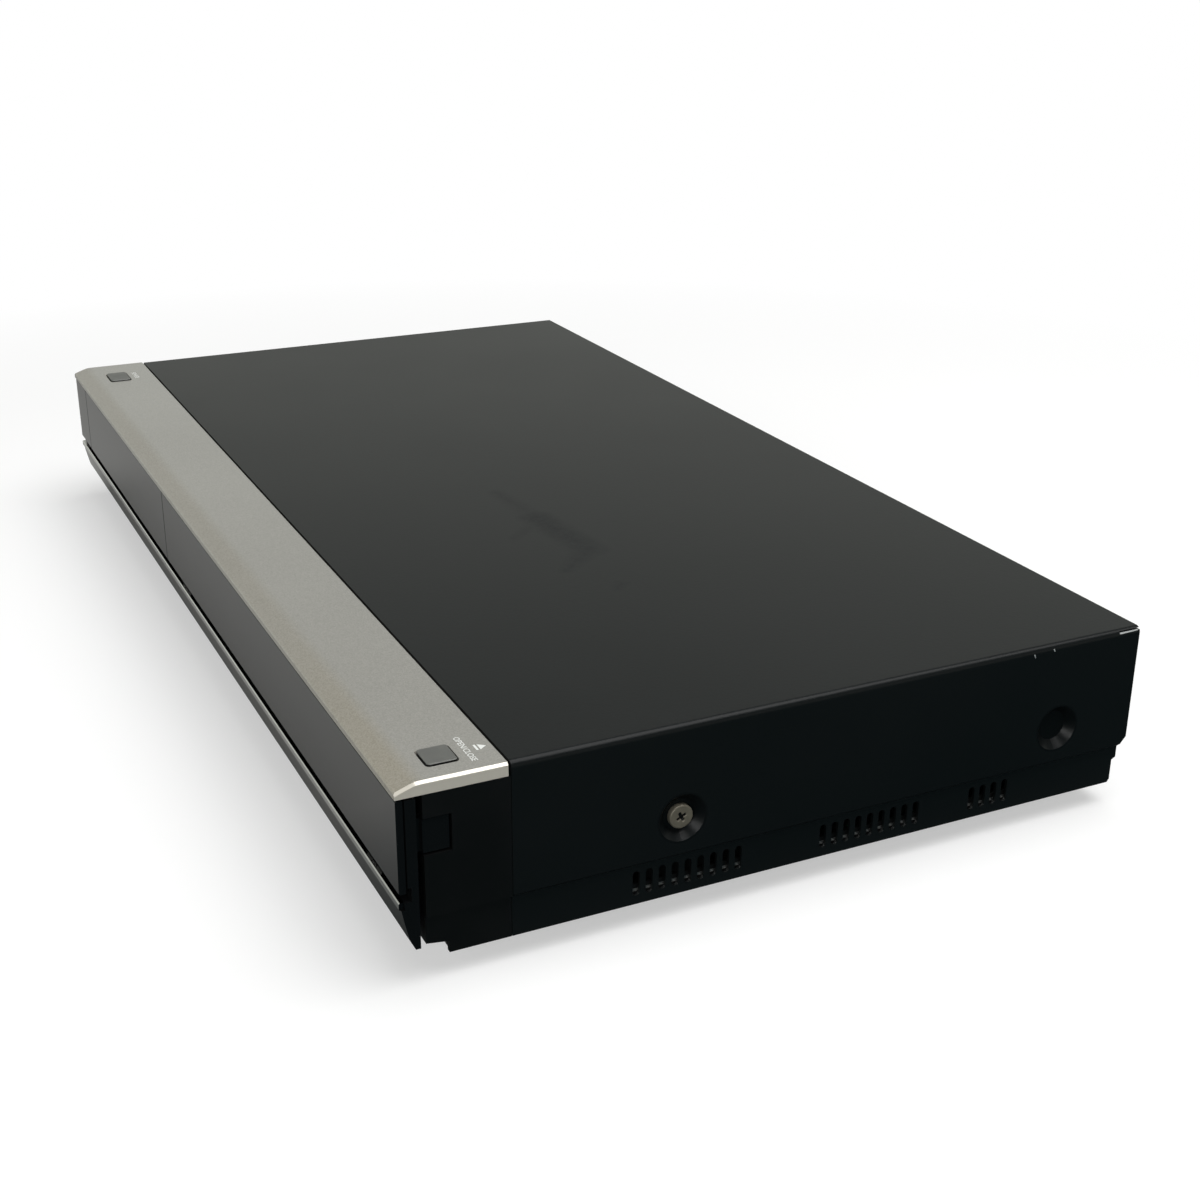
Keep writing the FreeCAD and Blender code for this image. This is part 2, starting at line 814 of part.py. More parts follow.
def make_front_panel():
    """Moulded front wall with end cheeks, the lower lip, hinge lugs and side hooks."""
    hy, hz = hinge_point()
    strip_low = below(lip_top + strip_height)
    drop = strip_low - lip_low
    lip = [
        (front(cheek_front), below(lip_top)),
        (front(slab_front - strip_depth), below(lip_top)),
        (front(slab_front - strip_depth), strip_low),
        (front(lip_face), strip_low),
        (front(lip_bulge), strip_low - lip_bulge_share * drop),
        (front(lip_tuck), strip_low - lip_tuck_share * drop),
        (front(lip_foot), lip_low),
        (front(plate_back), lip_low),
        (front(plate_back), below(slab_top)),
        (front(cheek_front), below(slab_top)),
    ]
    body = prism_x(lip, -half, half)
    w = lip_wall
    pocket = [
        (front(plate_back) + 1, below(lip_top + w)),
        (front(slab_front - strip_depth - w), below(lip_top + w)),
        (front(lip_bulge - w), strip_low - (lip_bulge_share + 0.049) * drop),
        (front(lip_tuck - w), strip_low - (lip_tuck_share - 0.033) * drop),
        (front(plate_back) + 1, strip_low - (lip_tuck_share + 0.016) * drop),
    ]
    cheek = chassis_wall + 0.5
    ribs = 6
    bay = (2 * half - 2 * cheek) / ribs
    cutters = []
    for n in range(ribs):
        x0 = -half + cheek + n * bay
        cutters.append(prism_x(pocket, x0 + (0.6 if n else 0), x0 + bay - (0.6 if n < ribs - 1 else 0)))
    # Behind the flap and the bezel the wall is set back
    a = front(cheek_front + 1)
    x1 = half - cheek
    cutters.append(block(-x1, x1, a, front(plate_front), below(lip_top), below(slab_top) + 1))
    # Openings for the tray, the display, the card slot and the socket: middle, half width, low and high
    slit = card_slit / 2
    usb_half = front_usb_width / 2 + 0.05
    usb_rise = front_usb_height / 2 + 0.05
    for x, w, low, high in (
        (drive_x, tray_hole_half, tray_hole_low, tray_hole_high),
        (display_x, display_width / 2, display_low, display_high),
        (card_x, card_width / 2, card_z - slit, card_z + slit),
        (front_usb_x, usb_half, front_usb_z - usb_rise, front_usb_z + usb_rise),
    ):
        cutters.append(block(x - w, x + w, a, front(plate_back) + 1, low, high))
    body = body.cut(cutters)
    extras = []
    for x in hinge_x:
        lug = rod(knuckle_radius, x - lug_width / 2, hy, hz, X_AXIS, lug_width)
        r = knuckle_radius
        arm = block(x - lug_width / 2, x + lug_width / 2, hy, front(plate_front) + 0.3, hz - r, hz + r)
        bore = rod(pin_radius + pin_running, x - lug_width, hy, hz, X_AXIS, 2 * lug_width)
        extras.append(lug.fuse(arm).cut(bore))
    # Hooks that snap into the windows of the front chassis: a sunk neck, and a tongue that fills the window
    y1 = front(hook_back)
    x1 = half - hook_sunk
    extras += both_sides(block(x1 - 1.4, x1, front(plate_back) - 0.5, y1, hook_low, hook_high))
    extras += both_sides(block(x1 - 0.3, half - 0.7, front(chassis_front), y1, hook_low, hook_high))
    # The cheeks reach forward behind the ends of the glossy front, and the fixed end has a sill under it
    y0 = front(cheek_reach)
    y1 = front(cheek_front) + 0.5
    extras += both_sides(block(half - cheek, half, y0, y1, hz + knuckle_radius, below(slab_top)))
    extras.append(block(-half, -half + cheek, y0, y1, below(lip_top), below(slab_top)))
    y0 = front(sill_reach)
    extras.append(block(-half, -half + cheek, y0, y1, below(lip_top) - 0.5, below(slab_bottom) - fit_gap))
    peg_length = plate_back - chassis_front + 0.4
    for x in (-half + 10.0, bezel_right + 12.0, card_x + 54.0, half - 47.0, half - 10.0):
        extras.append(rod(2.0, x, front(plate_back) - 0.4, below(lip_top) + 0.6, Y_AXIS, peg_length))
    return body.fuse(extras)


def make_lip_strip():
    """Bright strip along the top edge of the lower lip."""
    y0 = front(slab_front + strip_proud)
    y1 = front(slab_front - strip_depth)
    strip = block(-half + 0.6, half - 0.6, y0, y1, below(lip_top + strip_height), below(lip_top))
    return bevel_edges(strip, 0.3, lambda e: runs_along(e, X_AXIS) and e.BoundBox.YMax < y0 + 0.01)


def make_left_fascia():
    """Fixed end of the glossy front, left of the tray."""
    body = slab(-end_x, bezel_left - seam_line)
    x0 = -half + chassis_wall + 0.5 + fit_gap
    x1 = bezel_left - seam_line - slab_skin - fit_gap
    post = block(x0, x1, front(slab_front - slab_skin), front(plate_front), below(24.0), below(10.0))
    return body.fuse(post)


def button_hole(x, w, grow):
    """The rounded rectangle that a button runs in, as a cutter."""
    a = w / 2 + grow
    b = button_depth / 2 + grow
    body = block(x - a, x + a, button_y - b, button_y + b, height - 6, height + 2)
    return round_edges(body, button_corner + grow, lambda e: runs_along(e, Z_AXIS))


def make_top_trim():
    """Silver top trim: flat top, sloped front, short lip and bevelled ends."""
    d = front_depth
    shape = [
        (front(seam_gap), below(trim_drop)),
        (front(seam_gap), height),
        (front(trim_flat), height),
        (front(d - 0.4), below(trim_slope)),
        (front(d), below(trim_slope + 0.5)),
        (front(d), below(trim_drop)),
    ]
    body = prism_x(shape, -half, half)
    ridge_y = front(trim_flat)

    def ridge(e):
        end = e.Vertexes[0]
        return runs_along(e, X_AXIS) and abs(end.Y - ridge_y) < 0.01 and end.Z > height - 0.01

    def end_top(e):
        box = e.BoundBox
        return box.XLength < 0.01 and box.YLength > 1 and box.ZMin > below(trim_slope) - 0.01

    body = round_edges(body, trim_roll, ridge)
    body = bevel_edges(body, trim_bevel, end_top)
    t = trim_skin
    hollow = [
        (front(seam_gap + t), below(trim_drop) - 1),
        (front(seam_gap + t), below(t)),
        (front(trim_flat - 0.3), below(t)),
        (front(d - t), below(trim_slope + t)),
        (front(d - t), below(trim_drop) - 1),
    ]
    body = body.cut(prism_x(hollow, -half + t + 0.4, half - t - 0.4))
    holes = [
        button_hole(open_button_x, open_button_width, button_gap),
        button_hole(power_button_x, power_button_width, button_gap),
    ]
    return body.cut(holes)


key_board_z = height - 9.6
key_board_thick = 1.2
switch_height = 3.0
stem_radius = 1.8


def make_button(x, w):
    """A cap with a flange under the trim and a stem above its switch."""
    top = height + button_proud
    low = height - button_deep
    a = w / 2
    b = button_depth / 2
    cap = block(x - a, x + a, button_y - b, button_y + b, low, top)
    cap = round_edges(cap, button_corner, lambda e: runs_along(e, Z_AXIS))
    cap = bevel_edges(cap, 0.2, lambda e: e.BoundBox.ZMin > top - 0.01)
    a += button_flange
    b += button_flange
    flange = block(x - a, x + a, button_y - b, button_y + b, low, height - trim_skin - 0.1)
    bottom = key_board_z + key_board_thick + switch_height + button_travel + 0.05
    stem = rod(stem_radius, x, button_y, bottom, Z_AXIS, height - 2.3 - bottom)
    return joined(cap, flange, stem)


def make_front_chassis():
    """Black moulded frame: two side walls, a front wall, a floor and a deck under the trim."""
    x1 = half
    x0 = half - chassis_wall
    step = joggle_top - 0.5
    side = [
        (front(chassis_front), below(trim_drop + 0.15)),
        (front(0.15), below(trim_drop + 0.15)),
        (front(0.15), foot_height),
        (front(17.5), foot_height),
        (front(17.5), chassis_low - 0.9),
        (front(chassis_front), chassis_low),
    ]
    wall = prism_x(side, x0, x1)
    wall = wall.cut(block(x1 - joggle_inset, x1 + 1, front(chassis_front + 1), front(-1), 0, step))
    y1 = front(hook_back - 0.5)
    window = block(x0 - 1, x1 + 1, front(chassis_front + 1), y1, hook_low - 0.5, hook_high + 0.5)
    inner = half - chassis_wall + 0.5
    deck_top = below(trim_drop + 0.15)
    deck = block(-inner, inner, front(chassis_front), front(1.0), deck_top - 1.2, deck_top)
    y0 = front(chassis_front)
    plate = block(-inner, inner, y0, y0 + chassis_plate, chassis_low, deck_top - 0.5)
    floor = block(-inner, inner, front(chassis_front), front(0.6), chassis_low, chassis_low + 1.5)
    # Bosses that stand on the base, and ribs that carry the trim
    bosses = []
    for x in (-half + 15.0, bezel_right + 22.0, half - 115.0, half - 15.0):
        bosses.append(rod(4.0, x, front(9.0), floor_top, Z_AXIS, chassis_low - floor_top + 0.5))
    y0 = front(chassis_front - 2)
    y1 = front(seam_gap + trim_skin + 0.5)
    for n in range(-2, 3):
        x = n * trim_rib_pitch
        bosses.append(block(x - 1, x + 1, y0, y1, deck_top - 0.5, below(trim_skin)))
    body = wall.fuse([mirrored(wall), deck, plate, floor] + bosses)
    a = front(chassis_front + 1)
    b = front(chassis_front - chassis_plate - 1)
    holes = both_sides(window)
    for x, w, low, high in (
        (drive_x, tray_hole_half, tray_hole_low, tray_hole_high),
        (display_x, display_width / 2 + 3, display_low - 3, display_high + 2),
        (card_x, card_width / 2 + 3, card_z - 6, card_z + 6),
        (front_usb_x, front_usb_width / 2 + 1.5, front_usb_z - 5, front_usb_z + 5),
    ):
        holes.append(block(x - w, x + w, a, b, low, high))
    # The drive reaches in under the deck
    x0 = drive_left - 0.6
    x1 = drive_right + 0.6
    holes.append(block(x0, x1, drive_front - 0.4, front(-1), chassis_low - 1, deck_top - 1.25))
    for x, w in ((open_button_x, open_button_width), (power_button_x, power_button_width)):
        a = w / 2 + 1.5
        b = button_depth / 2 + 1.5
        holes.append(block(x - a, x + a, button_y - b, button_y + b, deck_top - 3, deck_top + 3))
    return body.cut(holes)


def key_boards():
    """The centre and size of each board under a button."""
    return [(open_button_x - 3.0, open_button_x), (power_button_x + 3.0, power_button_x)]


def make_key_boards():
    """Small circuit boards under the two buttons, hung on posts from the deck."""
    boards = []
    deck_under = below(trim_drop + 0.15) - 1.2
    top = key_board_z + key_board_thick
    for x, button_x in key_boards():
        board = block(x - 11.0, x + 11.0, front(20.8), front(3.0), key_board_z, top)
        posts = []
        for post_x in (x - 9.2, x + (9.2 if x < 0 else -4.0)):
            for y in (front(19.0), front(5.0)):
                posts.append(rod(1.2, post_x, y, top, Z_AXIS, deck_under - top))
        boards.append(board.fuse(posts))
    return boards


def make_key_switches():
    """Square push switches with round plungers."""
    switches = []
    z0 = key_board_z + key_board_thick
    for x, button_x in key_boards():
        z1 = z0 + switch_height - 0.8
        body = block(button_x - 3.0, button_x + 3.0, button_y - 3.0, button_y + 3.0, z0, z1)
        plunger = rod(1.6, button_x, button_y, z0, Z_AXIS, switch_height)
        switches.append(body.fuse(plunger))
    return switches


front_board_y = front(chassis_front - chassis_plate - 6.0)


def make_front_board():
    """Upright circuit board that carries the display, the card reader and the socket."""
    y = front_board_y
    return block(bezel_right + 8.0, half - 9.0, y, y + 1.6, chassis_low + 1.5, display_high - 4.0)


def make_display_tube():
    """Flat glass display with its stepped edge."""
    x0 = display_x - display_width / 2 - 2
    x1 = display_x + display_width / 2 + 2
    glass = block(x0, x1, front_board_y - 5.0, front_board_y, display_low - 2, display_high - 4.5)
    face = block(x0 + 3, x1 - 3, front_board_y - 7.0, front_board_y - 4.9, display_low, display_high - 5.0)
    return glass.fuse(face)


def make_display_lens():
    """Clear pane that closes the display's opening in the front wall."""
    g = 0.1
    x0 = display_x - display_width / 2 + g
    x1 = display_x + display_width / 2 - g
    return block(x0, x1, front(plate_front - 0.1), front(plate_back), display_low + g, display_high - g)


def make_card_reader():
    """Card slot housing with a flared mouth."""
    x0 = card_x - card_width / 2 - 2
    x1 = card_x + card_width / 2 + 2
    y0 = front(plate_back - 0.3)
    body = block(x0, x1, y0, front_board_y, card_z - 4, card_z + 4)
    slit = block(x0 + 2, x1 - 2, y0 - 1, front_board_y - 1, card_z - card_slit / 2, card_z + card_slit / 2)
    wedge = [(y0 - 0.1, card_z - 2.2), (y0 + 1.6, card_z), (y0 - 0.1, card_z + 2.2)]
    mouth = prism_x(wedge, x0 + 2, x1 - 2)
    return body.cut([slit, mouth])


def usb_shell(x, w, h, y0, y1, z_mid, mouth_sign):
    """A metal-shelled socket with its tongue; the mouth faces -Y or +Y."""
    t = port_wall
    body = block(x - w / 2, x + w / 2, y0, y1, z_mid - h / 2, z_mid + h / 2)
    if mouth_sign < 0:
        hollow = block(x - w / 2 + t, x + w / 2 - t, y0 - 1, y1 - 2, z_mid - h / 2 + t, z_mid + h / 2 - t)
    else:
        hollow = block(x - w / 2 + t, x + w / 2 - t, y0 + 2, y1 + 1, z_mid - h / 2 + t, z_mid + h / 2 - t)
    lead = 1.0
    tongue = block(x - w / 2 + 1.6, x + w / 2 - 1.6, y0 + lead, y1 - lead, z_mid + 0.2, z_mid + 1.9)
    return body.cut(hollow).fuse(tongue)


save("flap_window", make_flap_window())
save("flap_frame", make_flap_frame())
save("hinge_pins", *make_hinge_pins())
save("front_panel", make_front_panel())
save("lip_strip", make_lip_strip())
save("left_fascia", make_left_fascia())
save("top_trim", make_top_trim())
save("open_close_button", make_button(open_button_x, open_button_width))
save("power_button", make_button(power_button_x, power_button_width))
save("front_chassis", make_front_chassis())
save("key_boards", *make_key_boards())
save("key_switches", *make_key_switches())
save("front_board", make_front_board())
save("display_tube", make_display_tube())
save("display_lens", make_display_lens())
save("card_reader", make_card_reader())

# Loading gears
module = 1.0
rack_teeth = 48
loading_teeth = 20
step_teeth = 24
pinion_teeth = 10
gear_bore_gap = 0.05
gear_y = seam_y - 7.0
rack_inset = 55.0
tooth_root = 0.30
tooth_tip = 0.11
tooth_up = 0.9
tooth_down = 1.2
pulley_radius = 10.0
motor_pulley_radius = 3.5
pulley_height = 3.4
groove_depth = 0.7
belt_size = 1.0
belt_gap = 0.06
motor_pulley_x = drive_x + 17.0
pulley_z = drive_bottom + 10.0

# Tray
loader_wall = 2.5
guide_gap = 0.3
tray_half = tray_hole_half - 0.8
tray_under = drive_bottom + 24.5
tray_floor = 2.5
tray_rim = tray_under + 5.8
tray_front = front(slab_front - slab_skin)
tray_length = 160.0
disc_radius = 60.6
small_disc_radius = 40.5
disc_y = tray_front + 6.5 + disc_radius
spindle_slot_half = 22.0
rack_x = drive_x - rack_inset
loading_x = rack_x + module * loading_teeth / 2
pulley_x = loading_x + module * (step_teeth + pinion_teeth) / 2

# Traverse: the deck that carries the spindle and the pickup
deck_half = 43.0
deck_front = disc_y - 30.0
deck_thick = 3.0
deck_z = drive_bottom + 6.0
deck_top = deck_z + deck_thick
lift_y = disc_y + 91.5
lift_z = deck_z + 2.0
deck_back = lift_y + 4.0
trunnion_radius = 2.5
trunnion_gap = 0.08
trunnion_length = 6.0
opening_half = deck_half + 2.0
rail_x = deck_half - 11.0
rail_z = deck_top + 5.2
rail_radius = 1.5
rail_gap = 0.05
rail_front = disc_y - 4.0
rail_back = disc_y + 80.0
rail_seat = 4.0
screw_x = deck_half - 4.5
lead_radius = 1.5
sled_front = disc_y + 10.0
sled_length = 28.0
sled_top = deck_z + 10.6
lens_ahead = 24.0
stator_radius = 13.0
stator_height = 6.0
turntable_radius = 15.5
turntable_top = deck_z + 16.3
hub_radius = 7.4
hub_height = 1.5
spindle_gap = 0.3
clamp_radius = 13.0
clamp_bottom = drive_top - 4.4
clamp_flange = 17.0
plate_thick = 0.8


def toothed(teeth, x, y, z0, z1, turned):
    """A spur gear blank with straight-sided teeth; turned is the first tooth's angle in pitches."""
    pitch_radius = module * teeth / 2
    pitch = 2 * math.pi / teeth
    points = []
    for n in range(teeth):
        middle = (n + turned) * pitch
        for share, radius in (
            (-tooth_root, pitch_radius - tooth_down * module),
            (-tooth_tip, pitch_radius + tooth_up * module),
            (tooth_tip, pitch_radius + tooth_up * module),
            (tooth_root, pitch_radius - tooth_down * module),
        ):
            a = middle + share * pitch
            points.append((x + radius * math.cos(a), y + radius * math.sin(a)))
    return prism_z(points, z0, z1)


def rack(y_gap, back, z0, z1):
    """Rack whose teeth face +X, with a tooth gap at y_gap and a flat back."""
    pitch = math.pi * module
    start = y_gap - 4.5 * pitch
    points = [(back, start - pitch / 2)]
    for n in range(rack_teeth):
        middle = start + n * pitch
        points += [
            (rack_x - tooth_down * module, middle - tooth_root * pitch),
            (rack_x + tooth_up * module, middle - tooth_tip * pitch),
            (rack_x + tooth_up * module, middle + tooth_tip * pitch),
            (rack_x - tooth_down * module, middle + tooth_root * pitch),
        ]
    points.append((back, start + (rack_teeth - 0.5) * pitch))
    return prism_z(points, z0, z1)


gear_z = tray_under - 4.4
step_z = gear_z - 5.4


def make_loading_gear():
    """Stepped gear: the upper ring drives the tray's rack, the lower ring takes the pinion."""
    upper = toothed(loading_teeth, loading_x, gear_y, gear_z, gear_z + 3.6, 0)
    lower = toothed(step_teeth, loading_x, gear_y, step_z, step_z + 3.4, 0)
    hub = rod(5.0, loading_x, gear_y, step_z, Z_AXIS, gear_z - step_z + 1)
    bore = rod(2.0 + gear_bore_gap, loading_x, gear_y, step_z - 1, Z_AXIS, 20)
    return upper.fuse([lower, hub]).cut(bore)


def grooved(radius, x, y, z0):
    """A pulley with a square groove."""
    body = rod(radius, x, y, z0, Z_AXIS, pulley_height)
    middle = z0 + pulley_height / 2
    ring = rod(radius + 1, x, y, middle - 0.7, Z_AXIS, 1.4)
    core = rod(radius - groove_depth, x, y, middle - 1, Z_AXIS, 2)
    return body.cut(ring.cut(core))


def make_pulley_gear():
    """Belt pulley with a pinion on top."""
    pulley = grooved(pulley_radius, pulley_x, gear_y, pulley_z)
    pinion = toothed(pinion_teeth, pulley_x, gear_y, pulley_z + pulley_height - 0.1, step_z + 3.6, 0.5)
    bore = rod(1.5 + gear_bore_gap, pulley_x, gear_y, pulley_z - 1, Z_AXIS, 20)
    return pulley.fuse(pinion).cut(bore)


def make_motor_pulley():
    """Small pulley on the loading motor's shaft."""
    pulley = grooved(motor_pulley_radius, motor_pulley_x, gear_y, pulley_z)
    bore = rod(0.75 + gear_bore_gap, motor_pulley_x, gear_y, pulley_z - 1, Z_AXIS, 6)
    return pulley.cut(bore)


def belt_loop(grow, z0, z1):
    """The outline round both pulleys at a distance from their grooves, as a solid."""
    r0 = pulley_radius - groove_depth + grow
    r1 = motor_pulley_radius - groove_depth + grow
    span = motor_pulley_x - pulley_x
    a = math.acos((r0 - r1) / span)
    points = [
        (pulley_x + r0 * math.cos(a), gear_y + r0 * math.sin(a)),
        (motor_pulley_x + r1 * math.cos(a), gear_y + r1 * math.sin(a)),
        (motor_pulley_x + r1 * math.cos(a), gear_y - r1 * math.sin(a)),
        (pulley_x + r0 * math.cos(a), gear_y - r0 * math.sin(a)),
    ]
    middle = prism_z(points, z0, z1)
    ends = [
        rod(r0, pulley_x, gear_y, z0, Z_AXIS, z1 - z0),
        rod(r1, motor_pulley_x, gear_y, z0, Z_AXIS, z1 - z0),
    ]
    return middle.fuse(ends)


def make_loading_belt():
    """Square rubber belt."""
    middle = pulley_z + pulley_height / 2
    z0 = middle - belt_size / 2
    z1 = middle + belt_size / 2
    return belt_loop(belt_gap + belt_size, z0, z1).cut(belt_loop(belt_gap, z0 - 1, z1 + 1))


def make_loading_motor():
    """Flat motor with its shaft."""
    seat = drive_bottom + 2.0
    can = rod(11.0, motor_pulley_x, gear_y, seat, Z_AXIS, pulley_z - seat - 0.6)

    def rim(e):
        return e.BoundBox.ZMin > seat + 2 and e.Curve.TypeId == "Part::GeomCircle"

    can = bevel_edges(can, 0.8, rim)
    shaft = rod(0.75, motor_pulley_x, gear_y, seat + 2, Z_AXIS, pulley_z + pulley_height - seat - 2)
    return can.fuse(shaft)


def make_disc_tray():
    """Sliding tray: stepped disc recess, spindle slot, side rails, front wall and rack."""
    x0 = drive_x - tray_half
    x1 = drive_x + tray_half
    back = tray_front + tray_length
    body = block(x0, x1, tray_front + 1.5, back, tray_under, tray_rim)
    body = round_edges(body, 4.0, lambda e: runs_along(e, Z_AXIS) and e.BoundBox.YMin > back - 1)
    recess = rod(disc_radius, drive_x, disc_y, tray_under + tray_floor, Z_AXIS, 10)
    inner = rod(small_disc_radius, drive_x, disc_y, tray_under + tray_floor - 0.8, Z_AXIS, 10)
    s = spindle_slot_half
    slot = block(drive_x - s, drive_x + s, disc_y - 19.0, disc_y + 66.0, tray_under - 1, tray_rim + 1)
    slot = round_edges(slot, 8.0, lambda e: runs_along(e, Z_AXIS))
    finger = rod(9.0, drive_x, disc_y - disc_radius - 1.0, tray_under + tray_floor, Z_AXIS, 10)
    y0 = disc_y + disc_radius + 3
    rear_dip = block(x0 + 8, x1 - 8, y0, back - 4, tray_under + tray_floor, tray_rim + 1)
    rear_dip = rear_dip.cut(rod(disc_radius + 3, drive_x, disc_y, tray_under, Z_AXIS, 10))
    slot_wall = block(drive_x - s - 2, drive_x + s + 2, disc_y + 50, disc_y + 68, tray_under, tray_rim)
    body = body.cut([recess, inner, finger, rear_dip])
    body = body.fuse(slot_wall.cut(rod(disc_radius, drive_x, disc_y, tray_under - 1, Z_AXIS, 10)))
    wall = block(x0 + 2, x1 - 2, tray_front, tray_front + 2.0, tray_hole_low + 1.0, tray_rim)
    gear_rack = rack(gear_y, rack_x - 4.2, tray_under - 4.0, tray_under + 0.5)
    return body.fuse([wall, gear_rack]).cut(slot)


def make_tray_bezel():
    """The tray's own length of the glossy front."""
    body = slab(bezel_left, bezel_right)
    ribs = []
    y0 = front(slab_front - slab_skin)
    for x in (bezel_left + 4.0, bezel_right - 5.2):
        low = below(slab_bottom - slab_skin)
        high = below(slab_top + slab_skin)
        ribs.append(block(x, x + 1.2, y0, y0 + 1.6, low, high))
    return body.fuse(ribs)


def make_loader_frame():
    """Moulded drive frame: walls, tray guides, gear posts and bearings for the traverse."""
    top = drive_top - plate_thick
    front_wall = drive_front + loader_wall
    walls = [
        block(drive_left, drive_left + loader_wall, drive_front, drive_back, drive_bottom, top),
        block(drive_right - loader_wall, drive_right, drive_front, drive_back, drive_bottom, top),
        block(drive_left, drive_right, drive_back - loader_wall, drive_back, drive_bottom, top),
        block(drive_left, drive_right, drive_front, front_wall, drive_bottom, tray_hole_low - 2.0),
    ]
    floor = block(drive_left, drive_right, drive_front, drive_back, drive_bottom, drive_bottom + 2.0)
    s = opening_half
    y0 = deck_front - 2.0
    y1 = deck_back + 2.0
    hole = block(drive_x - s, drive_x + s, y0, y1, drive_bottom - 1, drive_bottom + 3)
    floor = floor.cut(hole)
    guides = []
    ledge_top = tray_under - 0.2
    inward = tray_half - 4.5
    for side in (-1, 1):
        wall_x = side * (drive_width / 2 - loader_wall + 0.2)
        near = side * (tray_half + guide_gap)
        xs = sorted((drive_x + wall_x, drive_x + side * inward))
        guides.append(block(xs[0], xs[1], drive_front, drive_back - 1, ledge_top - 2.0, ledge_top))
        xs = sorted((drive_x + wall_x, drive_x + near))
        guides.append(block(xs[0], xs[1], drive_front, drive_back - 1, ledge_top - 0.5, tray_rim))
        xs = sorted((drive_x + wall_x, drive_x + side * (tray_half - 3.0)))
        guides.append(block(xs[0], xs[1], drive_front + 2, drive_front + 16, tray_rim + guide_gap, top))
    posts = [
        rod(4.0, loading_x, gear_y, drive_bottom + 1, Z_AXIS, step_z - 0.2 - drive_bottom - 1),
        rod(2.0, loading_x, gear_y, drive_bottom + 1, Z_AXIS, gear_z + 3.4 - drive_bottom - 1),
        rod(3.0, pulley_x, gear_y, drive_bottom + 1, Z_AXIS, pulley_z - 0.2 - drive_bottom - 1),
        rod(1.5, pulley_x, gear_y, drive_bottom + 1, Z_AXIS, step_z + 3.8 - drive_bottom - 1),
    ]
    lugs = []
    for side in (-1, 1):
        a = drive_x + side * (deck_half + 1.0)
        b = drive_x + side * (deck_half + trunnion_length)
        xs = sorted((a, b))
        lug = block(xs[0], xs[1], lift_y - 4.5, lift_y + 4.5, drive_bottom + 0.5, lift_z + 4.5)
        bore = rod(trunnion_radius + trunnion_gap, xs[0] - 1, lift_y, lift_z, X_AXIS, xs[1] - xs[0] + 2)
        lugs.append(lug.cut(bore))
    body = floor.fuse(walls + guides + posts + lugs)
    return body


def make_drive_top_plate():
    """Steel lid of the drive with the clamp's hole, pressed ribs and side flanges."""
    top = drive_top
    z0 = top - plate_thick
    y0 = drive_front + 4.0
    plate = block(drive_left - plate_thick, drive_right + plate_thick, y0, drive_back, z0, top)
    flanges = [
        block(drive_left - plate_thick, drive_left, y0, drive_back, z0 - 7.0, top),
        block(drive_right, drive_right + plate_thick, y0, drive_back, z0 - 7.0, top),
    ]
    rim = rod(clamp_flange + 6, drive_x, disc_y, z0, Z_AXIS, plate_thick + 0.6)
    rim = rim.cut(rod(clamp_flange + 4.5, drive_x, disc_y, z0 - 1, Z_AXIS, 5))
    ribs = []
    for x in (-48.0, 48.0):
        ribs.append(block(drive_x + x - 2, drive_x + x + 2, y0 + 14, drive_back - 14, top - 0.1, top + 0.8))
    hole = rod(clamp_radius + 1.5, drive_x, disc_y, z0 - 1, Z_AXIS, 5)
    return plate.fuse(flanges + [rim] + ribs).cut(hole)


def make_disc_clamp():
    """Round puck that hangs in the lid and presses the disc on the turntable."""
    flange = rod(clamp_flange, drive_x, disc_y, drive_top + 0.1, Z_AXIS, 1.4)
    reach = drive_top + 0.5 - clamp_bottom
    body = cone(clamp_radius - 0.6, clamp_radius, drive_x, disc_y, clamp_bottom, Z_AXIS, reach)
    pocket = rod(hub_radius + 1.0, drive_x, disc_y, clamp_bottom - 1, Z_AXIS, 3.2)
    return flange.fuse(body).cut(pocket)


def make_traverse_deck():
    """Plate on two rear trunnions that carries the spindle motor, the rails and the sled motor."""
    x0 = drive_x - deck_half
    x1 = drive_x + deck_half
    plate = block(x0, x1, deck_front, deck_back, deck_z, deck_top)
    plate = round_edges(plate, 4.0, lambda e: runs_along(e, Z_AXIS))
    window = block(drive_x - 27, drive_x + 27, disc_y + 16, disc_y + 78, deck_z - 1, deck_top + 1)
    window = round_edges(window, 5.0, lambda e: runs_along(e, Z_AXIS))
    plate = plate.cut(window)
    pieces = []
    for x in (drive_x - rail_x, drive_x + rail_x):
        for y in (rail_front, rail_back - rail_seat):
            pieces.append(block(x - 2.6, x + 2.6, y, y + rail_seat, deck_top - 0.5, rail_z + 1.7))
    lead_x = drive_x + screw_x
    y0 = rail_front
    pieces.append(block(lead_x - 2.2, lead_x + 2.2, y0, y0 + 3.0, deck_top - 0.5, rail_z + 1.7))
    for side in (-1, 1):
        start = drive_x + side * (deck_half - 1)
        pieces.append(rod(trunnion_radius, start, lift_y, lift_z, X_AXIS * side, trunnion_length))
    skirt = block(x0 + 2, x1 - 2, deck_front + 1, deck_front + 3, deck_top - 0.5, deck_top + 3)
    body = plate.fuse(pieces + [skirt])
    length = rail_back - rail_front
    cutters = [
        rod(rail_radius, x, rail_front - 1, rail_z, Y_AXIS, length + 2)
        for x in (drive_x - rail_x, drive_x + rail_x)
    ]
    cutters.append(rod(lead_radius + rail_gap, lead_x, rail_front - 1, rail_z, Y_AXIS, 6))
    return body.cut(cutters)


def make_guide_rails():
    """Two polished rods that the pickup runs on."""
    length = rail_back - rail_front
    return [
        rod(rail_radius, x, rail_front, rail_z, Y_AXIS, length)
        for x in (drive_x - rail_x, drive_x + rail_x)
    ]


